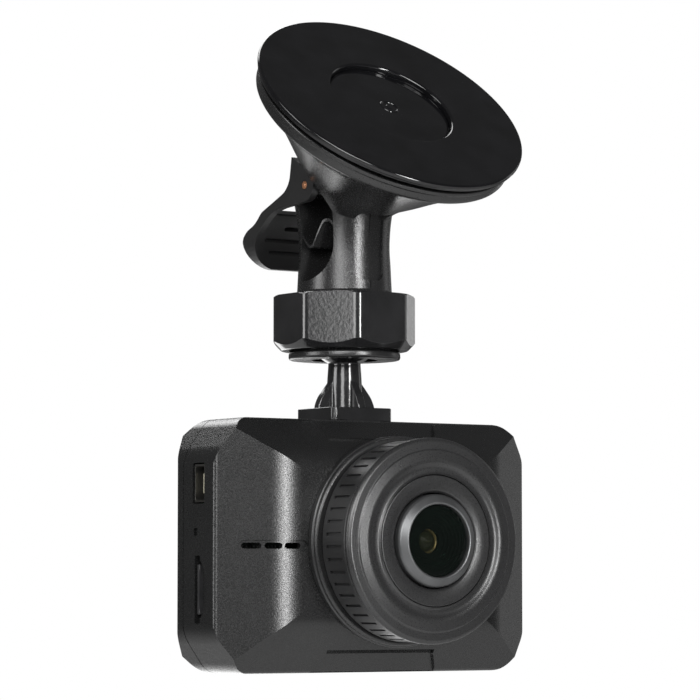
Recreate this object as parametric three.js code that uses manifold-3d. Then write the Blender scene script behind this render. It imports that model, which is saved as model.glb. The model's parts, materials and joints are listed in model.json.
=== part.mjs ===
// Dash camera on a lever-locked suction mount, in millimetres, +Z up, lens facing -Y.
// Inside the file the neck of the mount is the Z axis and the top of the case is z = 0; the pieces of the
// case sit in their own group, whose z = 0 is the underside. The finished group is moved so that its origin
// is the centre of the suction face.

import * as THREE from 'three';
import { mergeVertices } from 'three/addons/utils/BufferGeometryUtils.js';
import Module from 'manifold-3d';

const wasm = await Module();
wasm.setup();

// ---- Driving dimensions ---------------------------------------------------------------------------

const CLEARANCE = 0.3; // left between separate pieces
const FINE = 36; // segments round a large turned piece
const COARSE = 16; // segments round a small turned piece

const CASE = {
  width: 84,
  height: 56.5,
  wall: 1.8,
  cornerAcross: 6.2, // outline corner chamfers
  cornerUp: 8.7,
  sideDepth: 11.6, // neck axis forward to the front edge of the sides
  noseDepth: 18.9, // neck axis forward to the flat nose
  sideBevel: 14.2,
  topBevel: 8.9,
  bottomBevel: 11,
  rearDepth: 8.1, // neck axis back to the rear face
  rearBevel: 4,
  seam: 1.4, // where the front shell meets the rear cover
};

const NOTCH = { outerHalf: 17, innerHalf: 14.5, rise: 4.3, depth: 1 };

const LENS = {
  x: 1.5,
  z: 29.2,
  baseRadius: 23.6,
  baseHeight: 2.2,
  grooveRadius: 22,
  grooveHeight: 1,
  knurlRadius: 22.4,
  knurlHeight: 8.8,
  knurlRibs: 50,
  knurlRelief: 0.6,
  ringRadius: 22.8,
  ringHeight: 2.5,
  ringBore: 14.6,
  bezelRadius: 10.3,
  barrelRoom: 1.9, // round the bezel
  faceRadius: 20, // where the front ring starts to rise
  crestRadius: 17.5,
  bezelBore: 8.0,
  bezelHeight: 9.4,
  glassThickness: 1.1,
  tubeRadius: 8.7,
  tubeBore: 5.2,
  elementThickness: 2.4,
};

const BOARD = { front: 2.3, thickness: 1.2, edge: 0.5 };
const SENSOR = { side: 8, thickness: 1.6 };
const PROCESSOR = { side: 12, thickness: 1.5, x: -17, z: 38 };
const BATTERY = { width: 17, height: 34, thickness: 5, x: 23.5, z: 29 };
const SPEAKER = { radius: 6.5, thickness: 3.4, fromSide: 12.1, z: 28.1, skin: 12.92 };
const SPEAKER_MESH = { width: 14, height: 3.2, thickness: 0.3 };
const GRILLE = { from: 4.8, to: 19.9, height: 2.4, recess: 0.6, slotHeight: 1.2 };
const GRILLE_SLOTS = [[5.6, 9.6], [10.2, 13.9], [14.4, 18.2]]; // in from the side of the case
const MICROPHONE = { radius: 2, height: 2.4, x: -22, z: 12 };

const USB = { front: 7.65, rear: 2.6, bottom: 37.4, top: 46.4, length: 7, wall: 0.4, tongue: 0.9 };
const CARD = { length: 15, width: 11, thickness: 1, z: 18.5, y: -4.65 };
const CARD_SLOT = { margin: 2, width: 2.3, scoop: 5.6, scoopDepth: 1 };
const CARD_SOCKET = { length: 13.4, margin: 1.5, front: 6 };
const RESET = { y: -3.9, z: 31.2, hole: 0.9, pin: 0.6, length: 3, sunk: 0.4, switchSide: 3 };

const SCREEN = { width: 54, height: 34, z: 31.4, glass: 1.2, sunk: 0.3 };
const LCD = { border: 1.6, thickness: 3 };
const RIBBON = { height: 12, thickness: 0.3, reach: 2.4, z: 26 };
const KEY = { width: 8, height: 3.6, z: 8.6, proud: 0.5, depth: 2.95, travel: 0.4 };
const KEY_NAMES = ['power_key', 'menu_key', 'up_key', 'down_key'];
const KEY_PITCH = 14;
const KEY_MAT = { margin: 1.5, thickness: 1 };

const SCREW = { fromSide: 7.5, fromEnd: 6.9, head: 2.2, headHeight: 1.1, shank: 1.1, length: 11 };
const POST = { radius: 2.4, boss: 3.4 };

const PLATE = { width: 16.4, depth: 15.6, top: 3.2, corner: 0.85 };
const RAIL = { stem: 9, flange: 13, stemHeight: 2.1, flangeHeight: 1.8, blockWall: 2.2 };

const BALL = { radius: 8.5, z: 21.2 };
const STUD = { neckRadius: 3.7, rootRadius: 4, neckZ: 13.4, rootZ: 9.5, finThickness: 2 };
const SHELL_STEP = 0.4; // thickness of the thin liners round the ball
const SEAT = { from: 12, to: 85 }; // degrees down from the top of the ball
const WASHER = { from: 30, to: 100 };

const COLLET = { wall: 1.9, lip: 0.7, bottom: 14.3, lipTop: 16.1, top: 26.7, slit: 1.2, slitTurn: -45 };
const NUT = { wall: 4, bottom: 16.4, top: 29, chamfer: 2.2 };
const NECK = {
  collarRadius: 11.2,
  collarTop: 29.6,
  radius: 10.8,
  waistRadius: 10.4,
  waistZ: 39.5,
  flareZ: 46.5,
  elbowZ: 50,
};
const POCKET = { bottom: 32, top: 51.2, front: -7, rear: 2, web: 1.6, round: 5.1 };

const CUP = {
  tilt: THREE.MathUtils.degToRad(41.7),
  reach: 29, // elbow to suction face
  padRadius: 32.2,
  padThickness: 2.4,
  recessRadius: 14.7,
  recessDepth: 1.4,
  rimRadius: 31,
  rimFront: 2.8, // behind the suction face
  rimRear: 6,
  wall: 1.9,
  cavityDepth: 19.2,
};
const BELL = [[26, 8.7], [21.4, 13.2], [17, 18], [13, 22], [10.8, 25.5]]; // radius, depth behind the face
const ROD = { radius: 2.6, plateRadius: 13.6, plateThickness: 2, end: 28.2, travel: 1.4 };
const PAD_CENTRE = { thickness: 1.8 };
const SPRING = { radius: 4.4, wire: 0.6, turns: 3, stepsPerTurn: 10, sides: 5 };

const LEVER = { pinDepth: 24.3, pinRadius: 0.9, inner: 11.4, cheek: 1.6, head: 3.7, heel: 9.3, arm: 11.5 };
const LEVER_OPEN = 70; // degrees
const GROOVES = [[13, -7.9], [20, -10.5], [16, -13.2]]; // length and height below the pin
const GROOVE = { reach: 19.2, lean: 0.55, half: 0.4, depth: 0.7 };

// ---- Places worked out from the dimensions ---------------------------------------------------------

const noseY = -CASE.noseDepth;
const caseHalf = CASE.width / 2;
const bevelStretch = Math.hypot(CASE.sideBevel, CASE.noseDepth - CASE.sideDepth) / CASE.sideBevel;
const speakerX = -caseHalf + SPEAKER.fromSide;
const speakerFront = SPEAKER.skin - CASE.wall * bevelStretch;
const trimBore = LENS.bezelRadius + CLEARANCE;
const barrelBore = LENS.bezelRadius + LENS.barrelRoom;
const washerInner = BALL.radius + CLEARANCE;
const seatInner = washerInner + SHELL_STEP + CLEARANCE;
const socketRadius = seatInner + SHELL_STEP + CLEARANCE;
const colletRadius = socketRadius + COLLET.wall;
const nutBore = colletRadius + 2 * CLEARANCE;
const nutRadius = nutBore + NUT.wall;
const boardFrontY = -BOARD.front;
const rearInnerY = CASE.rearDepth - CASE.wall;
const cupAxis = new THREE.Vector3(0, -Math.sin(CUP.tilt), Math.cos(CUP.tilt));
const elbow = new THREE.Vector3(0, 0, NECK.elbowZ);
const faceCentre = elbow.clone().addScaledVector(cupAxis, CUP.reach);
const leverPin = faceCentre.clone().addScaledVector(cupAxis, -LEVER.pinDepth);
const cupMatrix = new THREE.Matrix4().makeRotationX(CUP.tilt).setPosition(faceCentre);

// ---- Finishes --------------------------------------------------------------------------------------

function finish(color, roughness, metalness = 0) {
  return new THREE.MeshStandardMaterial({ color, roughness, metalness });
}

const FINISH = {
  casePlastic: finish(0x17181a, 0.4),
  glossPlastic: finish(0x0b0c0d, 0.18),
  satinPlastic: finish(0x1c1d1f, 0.5),
  paddle: finish(0x3a3b3d, 0.45),
  pad: finish(0x060607, 0.08),
  bezel: finish(0x6d7073, 0.35, 0.8),
  glass: finish(0x0a1210, 0.05),
  steel: finish(0x9a9da0, 0.35, 1),
  copper: finish(0xb06a45, 0.3, 1),
  board: finish(0x1d4a2c, 0.5),
  chip: finish(0x101112, 0.4),
  pale: finish(0xd8d2c0, 0.5),
  foil: finish(0xb8bcc0, 0.4, 0.6),
  liner: finish(0xcfcfc8, 0.5),
  rubber: finish(0x202122, 0.8),
};

// ---- Geometry helpers ------------------------------------------------------------------------------

// A closed geometry as a solid, with shared corners merged and its faces pointing out.
function solid(geometry) {
  const bare = geometry.clone();
  bare.deleteAttribute('normal');
  bare.deleteAttribute('uv');
  const merged = mergeVertices(bare, 1e-4);
  const corners = merged.index.array;
  const place = merged.attributes.position;
  const kept = [];
  let volume = 0;
  for (let i = 0; i < corners.length; i += 3) {
    const [a, b, c] = [corners[i], corners[i + 1], corners[i + 2]];
    if (a === b || b === c || c === a) continue;
    kept.push(a, b, c);
    const [p, q, r] = [a, b, c].map((corner) => new THREE.Vector3().fromBufferAttribute(place, corner));
    volume += p.dot(q.cross(r));
  }
  if (volume < 0) kept.reverse();
  const vertProperties = new Float32Array(place.array);
  const triVerts = new Uint32Array(kept);
  return new wasm.Manifold(new wasm.Mesh({ numProp: 3, vertProperties, triVerts }));
}

function geometryOf(shape) {
  const mesh = shape.getMesh();
  const geometry = new THREE.BufferGeometry();
  geometry.setAttribute('position', new THREE.BufferAttribute(mesh.vertProperties, 3));
  geometry.setIndex(new THREE.BufferAttribute(mesh.triVerts, 1));
  return geometry;
}

// A box between two corners.
function block([x0, y0, z0], [x1, y1, z1]) {
  const geometry = new THREE.BoxGeometry(x1 - x0, y1 - y0, z1 - z0);
  geometry.translate((x0 + x1) / 2, (y0 + y1) / 2, (z0 + z1) / 2);
  return solid(geometry);
}

const X = new THREE.Vector3(1, 0, 0);
const Y = new THREE.Vector3(0, 1, 0);
const Z = new THREE.Vector3(0, 0, 1);
const VIEW = {
  x: new THREE.Matrix4().makeBasis(Y, Z, X), // an outline given as (y, z)
  y: new THREE.Matrix4().makeBasis(X, Z, Y.clone().negate()), // an outline given as (x, z)
  z: new THREE.Matrix4(), // an outline given as (x, y)
};

function shapeOf(outline) {
  if (outline instanceof THREE.Shape) return outline;
  return new THREE.Shape(outline.map(([u, v]) => new THREE.Vector2(u, v)));
}

// An outline drawn out along an axis from one place to another.
function prism(outline, axis, from, to, curveSegments = 4) {
  const geometry = new THREE.ExtrudeGeometry(shapeOf(outline), {
    depth: to - from,
    bevelEnabled: false,
    curveSegments,
  });
  geometry.translate(0, 0, axis === 'y' ? -to : from);
  geometry.applyMatrix4(VIEW[axis]);
  return solid(geometry);
}

// A profile of (radius, height) points turned about Z.
function turned(profile, segments = COARSE, matrix = null) {
  const geometry = new THREE.LatheGeometry(profile.map(([r, z]) => new THREE.Vector2(r, z)), segments);
  geometry.rotateX(Math.PI / 2);
  if (matrix) geometry.applyMatrix4(matrix);
  return solid(geometry);
}

// The profile of a plain ring or, with no bore, a disc.
function ringProfile(bore, radius, bottom, top) {
  if (bore === 0) return [[0, bottom], [radius, bottom], [radius, top], [0, top]];
  return [[bore, bottom], [radius, bottom], [radius, top], [bore, top], [bore, bottom]];
}

// A round bar along an axis, through the point given by the other two coordinates.
function bar(radius, axis, [u, v], from, to, segments = COARSE) {
  const circle = new THREE.Shape().absarc(u, v, radius, 0, Math.PI * 2);
  return prism(circle, axis, from, to, segments);
}

function obround(width, height, u, v) {
  const end = Math.min(width, height) / 2;
  const reach = (width - height) / 2;
  const shape = new THREE.Shape();
  shape.absarc(u + reach, v, end, -Math.PI / 2, Math.PI / 2);
  shape.absarc(u - reach, v, end, Math.PI / 2, (3 * Math.PI) / 2);
  return shape;
}

// Moves every side of a convex outline inwards by the same distance.
function inset(outline, distance) {
  const sides = outline.map((from, index) => {
    const to = outline[(index + 1) % outline.length];
    const length = Math.hypot(to[0] - from[0], to[1] - from[1]);
    const inward = [-(to[1] - from[1]) / length, (to[0] - from[0]) / length];
    return { inward, reach: inward[0] * from[0] + inward[1] * from[1] + distance };
  });
  return sides.map((side, index) => {
    const before = sides[(index + sides.length - 1) % sides.length];
    const cross = before.inward[0] * side.inward[1] - before.inward[1] * side.inward[0];
    return [
      (before.reach * side.inward[1] - side.reach * before.inward[1]) / cross,
      (before.inward[0] * side.reach - side.inward[0] * before.reach) / cross,
    ];
  });
}

function piece(name, shape, material, parent) {
  const mesh = new THREE.Mesh(geometryOf(shape), material);
  mesh.name = name;
  parent.add(mesh);
}

// ---- Case ------------------------------------------------------------------------------------------

// The case outline seen from the front (x, z), from above (x, y) and from the side (y, z).
function caseOutlines() {
  const { cornerAcross: across, cornerUp: up, height, sideDepth, noseDepth, rearDepth, rearBevel } = CASE;
  const half = caseHalf;
  const noseHalf = half - CASE.sideBevel;
  return {
    front: [
      [-half + across, 0], [half - across, 0], [half, up], [half, height - up],
      [half - across, height], [-half + across, height], [-half, height - up], [-half, up],
    ],
    above: [
      [-noseHalf, -noseDepth], [noseHalf, -noseDepth], [half, -sideDepth], [half, rearDepth - rearBevel],
      [half - rearBevel, rearDepth], [-half + rearBevel, rearDepth], [-half, rearDepth - rearBevel],
      [-half, -sideDepth],
    ],
    side: [
      [-sideDepth, 0], [rearDepth - rearBevel, 0], [rearDepth, rearBevel], [rearDepth, height - rearBevel],
      [rearDepth - rearBevel, height], [-sideDepth, height], [-noseDepth, height - CASE.topBevel],
      [-noseDepth, CASE.bottomBevel],
    ],
  };
}

// The whole case as a filled block, with every face moved in by the same distance.
function caseBlock(distance) {
  const { front, above, side } = caseOutlines();
  const beyond = CASE.width;
  return prism(inset(front, distance), 'y', -beyond, beyond)
    .intersect(prism(inset(above, distance), 'z', -beyond, beyond))
    .intersect(prism(inset(side, distance), 'x', -beyond, beyond));
}

function halfSpace(fromY, toY) {
  return block([-CASE.width, fromY, -CASE.height], [CASE.width, toY, CASE.height * 2]);
}

const screwX = caseHalf - SCREW.fromSide;
const screwPlaces = [SCREW.fromEnd, CASE.height - SCREW.fromEnd].flatMap((z) => [[-screwX, z], [screwX, z]]);

// The channel in the top of the case that the bracket's T-rail slides into from the rear.
function railChannel() {
  const front = -PLATE.depth / 2 - CLEARANCE;
  const rear = CASE.rearDepth + 1;
  const stemHalf = RAIL.stem / 2 + CLEARANCE;
  const flangeHalf = RAIL.flange / 2 + CLEARANCE;
  const flangeTop = CASE.height - RAIL.stemHeight + CLEARANCE;
  const flangeBottom = CASE.height - RAIL.stemHeight - RAIL.flangeHeight - CLEARANCE;
  return block([-stemHalf, front, flangeTop - 1], [stemHalf, rear, CASE.height + 1])
    .add(block([-flangeHalf, front, flangeBottom], [flangeHalf, rear, flangeTop]));
}

const railBlockBottom = CASE.height - RAIL.stemHeight - RAIL.flangeHeight - CLEARANCE - RAIL.blockWall;
const railBlockHalf = RAIL.flange / 2 + CLEARANCE + RAIL.blockWall;

function railBlock() {
  const front = -PLATE.depth / 2 - CLEARANCE - RAIL.blockWall;
  return block([-railBlockHalf, front, railBlockBottom], [railBlockHalf, CASE.rearDepth, CASE.height]);
}

// Two shallow recesses in the top and bottom bevels of the nose.
function notchCut() {
  const { outerHalf, innerHalf, rise } = NOTCH;
  const past = outerHalf + (outerHalf - innerHalf) / rise;
  const band = halfSpace(noseY - 1, -CASE.sideDepth + NOTCH.depth);
  const top = [
    [-past, CASE.height + 1], [-innerHalf, CASE.height - rise], [innerHalf, CASE.height - rise],
    [past, CASE.height + 1],
  ];
  const bottom = [[-past, -1], [past, -1], [innerHalf, rise], [-innerHalf, rise]];
  const skin = caseBlock(-1).subtract(caseBlock(NOTCH.depth)).intersect(band);
  const prisms = prism(top, 'y', noseY - 1, 0).add(prism(bottom, 'y', noseY - 1, 0));
  return skin.intersect(prisms);
}

function grilleCut() {
  const middle = -caseHalf + (GRILLE.from + GRILLE.to) / 2;
  const frame = obround(GRILLE.to - GRILLE.from, GRILLE.height, middle, SPEAKER.z);
  const skin = caseBlock(-1).subtract(caseBlock(GRILLE.recess));
  let cut = skin.intersect(prism(frame, 'y', noseY - 1, 0));
  for (const [from, to] of GRILLE_SLOTS) {
    const slot = obround(to - from, GRILLE.slotHeight, -caseHalf + (from + to) / 2, SPEAKER.z);
    cut = cut.add(prism(slot, 'y', noseY - 1, -speakerFront + CLEARANCE));
  }
  return cut;
}

function portCut() {
  const outside = -caseHalf - 1;
  const inside = -caseHalf + CASE.wall + 1;
  const slotHalf = CARD.width / 2 + CARD_SLOT.margin;
  const slotFront = CARD.y - CARD_SLOT.width / 2;
  const usb = block([outside, -USB.front, USB.bottom], [inside, -USB.rear, USB.top]);
  const card = block(
    [outside, slotFront, CARD.z - slotHalf],
    [inside, slotFront + CARD_SLOT.width, CARD.z + slotHalf],
  );
  const reset = bar(RESET.hole, 'x', [RESET.y, RESET.z], outside, inside, 12);
  const scoop = new THREE.SphereGeometry(CARD_SLOT.scoop, 16, 10);
  scoop.translate(-caseHalf - CARD_SLOT.scoop + CARD_SLOT.scoopDepth, slotFront, CARD.z);
  return usb.add(card).add(reset).add(solid(scoop));
}

function makeFrontShell(parent) {
  const front = halfSpace(noseY - 1, CASE.seam);
  const full = caseBlock(0);
  const cavity = caseBlock(CASE.wall);
  let shell = full.subtract(cavity);
  for (const [x, z] of screwPlaces) {
    shell = shell.add(bar(POST.radius, 'y', [x, z], noseY, CASE.seam, 12).intersect(full));
  }
  shell = shell.add(railBlock()).intersect(front);
  for (const [x, z] of screwPlaces) {
    const bottom = rearInnerY - SCREW.length;
    shell = shell.subtract(bar(SCREW.shank + CLEARANCE, 'y', [x, z], bottom, CASE.seam + 1, 12));
  }
  const bore = bar(LENS.tubeRadius + CLEARANCE, 'y', [LENS.x, LENS.z], noseY - 1, noseY + CASE.wall + 1);
  const cuts = [railChannel(), notchCut(), grilleCut(), portCut(), bore];
  piece('front_shell', cuts.reduce((left, cut) => left.subtract(cut), shell), FINISH.casePlastic, parent);
}

function rectangle(width, height, x, z) {
  return [
    [x - width / 2, z - height / 2], [x + width / 2, z - height / 2],
    [x + width / 2, z + height / 2], [x - width / 2, z + height / 2],
  ];
}

const keyPlaces = KEY_NAMES.map((name, index) => [name, (index - (KEY_NAMES.length - 1) / 2) * KEY_PITCH]);

function makeRearCover(parent) {
  const behind = CASE.rearDepth + 1;
  let cover = caseBlock(0).subtract(caseBlock(CASE.wall)).add(railBlock());
  for (const [x, z] of screwPlaces) {
    const boss = bar(POST.boss, 'y', [x, z], CASE.seam, CASE.rearDepth - 1, 16);
    cover = cover.add(boss.intersect(caseBlock(0)));
  }
  cover = cover.intersect(halfSpace(CASE.seam + CLEARANCE, behind)).intersect(caseBlock(0));
  for (const [x, z] of screwPlaces) {
    const headSeat = CASE.rearDepth - SCREW.headHeight - 2 * CLEARANCE;
    cover = cover
      .subtract(bar(SCREW.shank + CLEARANCE, 'y', [x, z], 0, behind, 12))
      .subtract(bar(SCREW.head + CLEARANCE, 'y', [x, z], headSeat, behind, 16));
  }
  const opening = rectangle(SCREEN.width + 2 * CLEARANCE, SCREEN.height + 2 * CLEARANCE, 0, SCREEN.z);
  cover = cover.subtract(railChannel()).subtract(prism(opening, 'y', rearInnerY - 1, behind));
  for (const [, x] of keyPlaces) {
    const hole = obround(KEY.width + 2 * CLEARANCE, KEY.height + 2 * CLEARANCE, x, KEY.z);
    cover = cover.subtract(prism(hole, 'y', rearInnerY - 1, behind));
  }
  piece('rear_cover', cover, FINISH.casePlastic, parent);
}

function makeScrews(parent) {
  screwPlaces.forEach(([x, z], index) => {
    const top = CASE.rearDepth - CLEARANCE;
    const seat = top - SCREW.headHeight;
    const head = bar(SCREW.head, 'y', [x, z], seat, top, 10);
    const shank = bar(SCREW.shank, 'y', [x, z], seat - SCREW.length + 3, seat + 0.1, 6);
    const recess = block([x - 1, top - 0.6, z - 0.3], [x + 1, top + 1, z + 0.3])
      .add(block([x - 0.3, top - 0.6, z - 1], [x + 0.3, top + 1, z + 1]));
    piece(`cover_screw_${index + 1}`, head.add(shank).subtract(recess), FINISH.steel, parent);
  });
}

// ---- Lens ------------------------------------------------------------------------------------------

// The knurled outline: ribs stand on the barrel, each with a narrow valley beside it.
function knurlOutline() {
  const shape = new THREE.Shape();
  const step = (Math.PI * 2) / LENS.knurlRibs;
  for (let rib = 0; rib < LENS.knurlRibs; rib += 1) {
    const corners = [[0, 0], [0.66, 0], [0.83, LENS.knurlRelief]];
    for (const [share, relief] of corners) {
      const angle = (rib + share) * step;
      const radius = LENS.knurlRadius - relief;
      const point = [radius * Math.cos(angle), radius * Math.sin(angle)];
      if (rib + share === 0) shape.moveTo(...point);
      else shape.lineTo(...point);
    }
  }
  shape.closePath();
  return shape;
}

function makeLens(parent) {
  const lens = new THREE.Group();
  lens.position.set(LENS.x, 0, LENS.z);
  lens.rotation.x = Math.PI / 2; // heights below are forward, along -Y
  parent.add(lens);

  const base = CASE.noseDepth + CLEARANCE;
  const baseTop = base + LENS.baseHeight;
  piece('lens_base_ring', turned([
    [barrelBore, base], [LENS.baseRadius, base], [LENS.baseRadius, baseTop - 0.5],
    [LENS.baseRadius - 0.5, baseTop], [barrelBore, baseTop], [barrelBore, base],
  ], FINE), FINISH.satinPlastic, lens);

  const barrel = baseTop + CLEARANCE;
  const knurlStart = barrel + LENS.grooveHeight;
  const knurlEnd = knurlStart + LENS.knurlHeight;
  const bore = turned(ringProfile(0, barrelBore, barrel - 1, knurlEnd + 1), FINE);
  const sleeve = turned(ringProfile(0, LENS.grooveRadius, barrel, knurlStart + 0.1), FINE);
  const knurl = prism(knurlOutline(), 'z', knurlStart, knurlEnd);
  piece('lens_barrel', knurl.add(sleeve).subtract(bore), FINISH.satinPlastic, lens);

  const ring = knurlEnd + CLEARANCE;
  const ringTop = ring + LENS.ringHeight;
  piece('lens_front_ring', turned([
    [LENS.ringBore, ring], [LENS.ringRadius, ring], [LENS.ringRadius, ringTop - 1.1],
    [LENS.ringRadius - 0.6, ringTop - 0.6], [LENS.faceRadius, ringTop - 0.5], [LENS.crestRadius, ringTop],
    [LENS.crestRadius - 1.5, ringTop - 0.5],
    [LENS.ringBore, ringTop - 0.2], [LENS.ringBore, ring],
  ], FINE), FINISH.satinPlastic, lens);
  const trimRadius = LENS.ringBore - CLEARANCE;
  const trim = ringProfile(trimBore, trimRadius, ring, ringTop - 0.1);
  piece('lens_trim_ring', turned(trim, FINE), FINISH.satinPlastic, lens);

  const bezelTop = ringTop + 1.5;
  const bezel = bezelTop - LENS.bezelHeight;
  piece('lens_bezel', turned([
    [LENS.bezelBore, bezel], [LENS.bezelRadius, bezel], [LENS.bezelRadius, ringTop + 0.3],
    [LENS.bezelBore, bezelTop], [LENS.bezelBore, bezel],
  ], FINE), FINISH.bezel, lens);

  const inside = LENS.bezelBore - CLEARANCE;
  const glassTop = bezelTop - 0.5;
  piece('front_glass', turned([
    [0, glassTop - LENS.glassThickness], [inside, glassTop - LENS.glassThickness], [inside, glassTop - 0.5],
    [inside / 2, glassTop - 0.15], [0, glassTop],
  ], FINE), FINISH.glass, lens);
  const coneTop = glassTop - LENS.glassThickness - CLEARANCE;
  const coneBottom = coneTop - 3;
  piece('lens_cone', turned([
    [2.8, coneBottom], [inside, coneBottom], [inside, coneTop], [inside - 0.5, coneTop],
    [2.8, coneBottom + 0.8], [2.8, coneBottom],
  ]), FINISH.satinPlastic, lens);

  const tubeTop = coneBottom - CLEARANCE;
  const tubeBottom = BOARD.front + CLEARANCE;
  const sensorRoom = SENSOR.side * 0.75 + CLEARANCE;
  const step = bezel - CLEARANCE;
  piece('lens_tube', turned([
    [sensorRoom, tubeBottom], [LENS.tubeRadius, tubeBottom], [LENS.tubeRadius, step],
    [inside - CLEARANCE, step], [inside - CLEARANCE, tubeTop], [LENS.tubeBore, tubeTop],
    [LENS.tubeBore, tubeBottom + 3], [sensorRoom, tubeBottom + 3], [sensorRoom, tubeBottom],
  ]), FINISH.satinPlastic, lens);
  const elementRadius = LENS.tubeBore - CLEARANCE;
  const elements = [
    ['front_lens', tubeTop - LENS.elementThickness - 0.4],
    ['middle_lens', tubeTop - 12],
    ['rear_lens', tubeBottom + 5],
  ];
  for (const [name, start] of elements) {
    const edge = start + LENS.elementThickness - 0.8;
    piece(name, turned([
      [0, start], [elementRadius, start], [elementRadius, edge], [elementRadius * 0.55, edge + 0.55],
      [0, edge + 0.8],
    ]), FINISH.glass, lens);
  }
}

// ---- Electronics -----------------------------------------------------------------------------------

// A box of given width and height centred at (x, z), between two depths.
function slab(width, height, x, z, fromY, toY) {
  return prism(rectangle(width, height, x, z), 'y', fromY, toY);
}

function makeBoard(parent) {
  const outline = inset(caseOutlines().front, CASE.wall + BOARD.edge);
  let board = prism(outline, 'y', boardFrontY, boardFrontY + BOARD.thickness);
  for (const [x, z] of screwPlaces) {
    board = board.subtract(bar(POST.radius + 2 * CLEARANCE, 'y', [x, z], boardFrontY - 1, CASE.seam, 12));
    board = board.subtract(slab(
      2 * (caseHalf - Math.abs(x)), POST.radius * 2 + 4 * CLEARANCE, Math.sign(x) * caseHalf, z,
      boardFrontY - 1, CASE.seam,
    ));
  }
  const notchHalf = railBlockHalf + CLEARANCE;
  board = board.subtract(block(
    [-notchHalf, boardFrontY - 1, railBlockBottom - CLEARANCE],
    [notchHalf, CASE.seam, CASE.height],
  ));
  piece('main_board', board, FINISH.board, parent);
}

function makeBoardParts(parent) {
  const seat = boardFrontY - CLEARANCE;
  const sensor = slab(SENSOR.side, SENSOR.side, LENS.x, LENS.z, seat - SENSOR.thickness, seat);
  piece('image_sensor', sensor, FINISH.chip, parent);
  const { side, thickness, x, z } = PROCESSOR;
  piece('processor', slab(side, side, x, z, seat - thickness, seat), FINISH.chip, parent);
  const battery = slab(BATTERY.width, BATTERY.height, BATTERY.x, BATTERY.z, seat - BATTERY.thickness, seat);
  piece('battery', battery, FINISH.foil, parent);
  const { radius, height } = MICROPHONE;
  const microphone = bar(radius, 'y', [MICROPHONE.x, MICROPHONE.z], seat - height, seat, 12);
  piece('microphone', microphone, FINISH.steel, parent);

  const speakerRear = -speakerFront + SPEAKER.thickness;
  const speaker = bar(SPEAKER.radius, 'y', [speakerX, SPEAKER.z], -speakerFront, speakerRear);
  piece('speaker', speaker, FINISH.chip, parent);
  const meshRear = -speakerFront - CLEARANCE;
  const meshFront = meshRear - SPEAKER_MESH.thickness;
  const mesh = slab(SPEAKER_MESH.width, SPEAKER_MESH.height, speakerX, SPEAKER.z, meshFront, meshRear);
  piece('speaker_mesh', mesh, FINISH.steel, parent);
}

function makeUsb(parent) {
  const left = -caseHalf + CLEARANCE;
  const right = left + USB.length;
  const front = -USB.front + CLEARANCE;
  const rear = -USB.rear - CLEARANCE;
  const bottom = USB.bottom + CLEARANCE;
  const top = USB.top - CLEARANCE;
  const mouth = block(
    [left - 1, front + USB.wall, bottom + USB.wall],
    [right - USB.wall, rear - USB.wall, top - USB.wall],
  );
  const can = block([left, front, bottom], [right, rear, top]).subtract(mouth);
  piece('usb_socket', can, FINISH.steel, parent);
  const middle = (front + rear) / 2;
  const tongue = block(
    [left + 1.2, middle - USB.tongue / 2, bottom + 2],
    [right - USB.wall - CLEARANCE, middle + USB.tongue / 2, top - 2],
  );
  piece('usb_tongue', tongue, FINISH.pale, parent);
}

function makeCardSocket(parent) {
  const left = -caseHalf + CASE.wall + CLEARANCE + 0.4;
  const half = CARD.width / 2 + CARD_SOCKET.margin;
  const roomHalf = CARD.width / 2 + CLEARANCE;
  const frontY = -CARD_SOCKET.front;
  const backY = boardFrontY - CLEARANCE;
  const right = left + CARD_SOCKET.length;
  const room = block(
    [left - 1, CARD.y - CARD.thickness / 2 - CLEARANCE, CARD.z - roomHalf],
    [right + 1, CARD.y + CARD.thickness / 2 + CLEARANCE, CARD.z + roomHalf],
  );
  const body = block([left, frontY, CARD.z - half], [right, backY, CARD.z + half]);
  piece('card_socket', body.subtract(room), FINISH.steel, parent);
  const cardLeft = -caseHalf + CLEARANCE;
  const card = block(
    [cardLeft, CARD.y - CARD.thickness / 2, CARD.z - CARD.width / 2],
    [cardLeft + CARD.length, CARD.y + CARD.thickness / 2, CARD.z + CARD.width / 2],
  );
  piece('memory_card', card, FINISH.chip, parent);
}

function makeReset(parent) {
  const left = -caseHalf + RESET.sunk;
  const button = bar(RESET.pin, 'x', [RESET.y, RESET.z], left, left + RESET.length, 10);
  piece('reset_button', button, FINISH.pale, parent);
  const start = left + RESET.length + KEY.travel + CLEARANCE;
  const half = RESET.switchSide / 2;
  const box = block(
    [start, RESET.y - half + 0.2, RESET.z - half],
    [start + RESET.switchSide, boardFrontY - CLEARANCE, RESET.z + half],
  );
  piece('reset_switch', box, FINISH.chip, parent);
}

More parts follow.
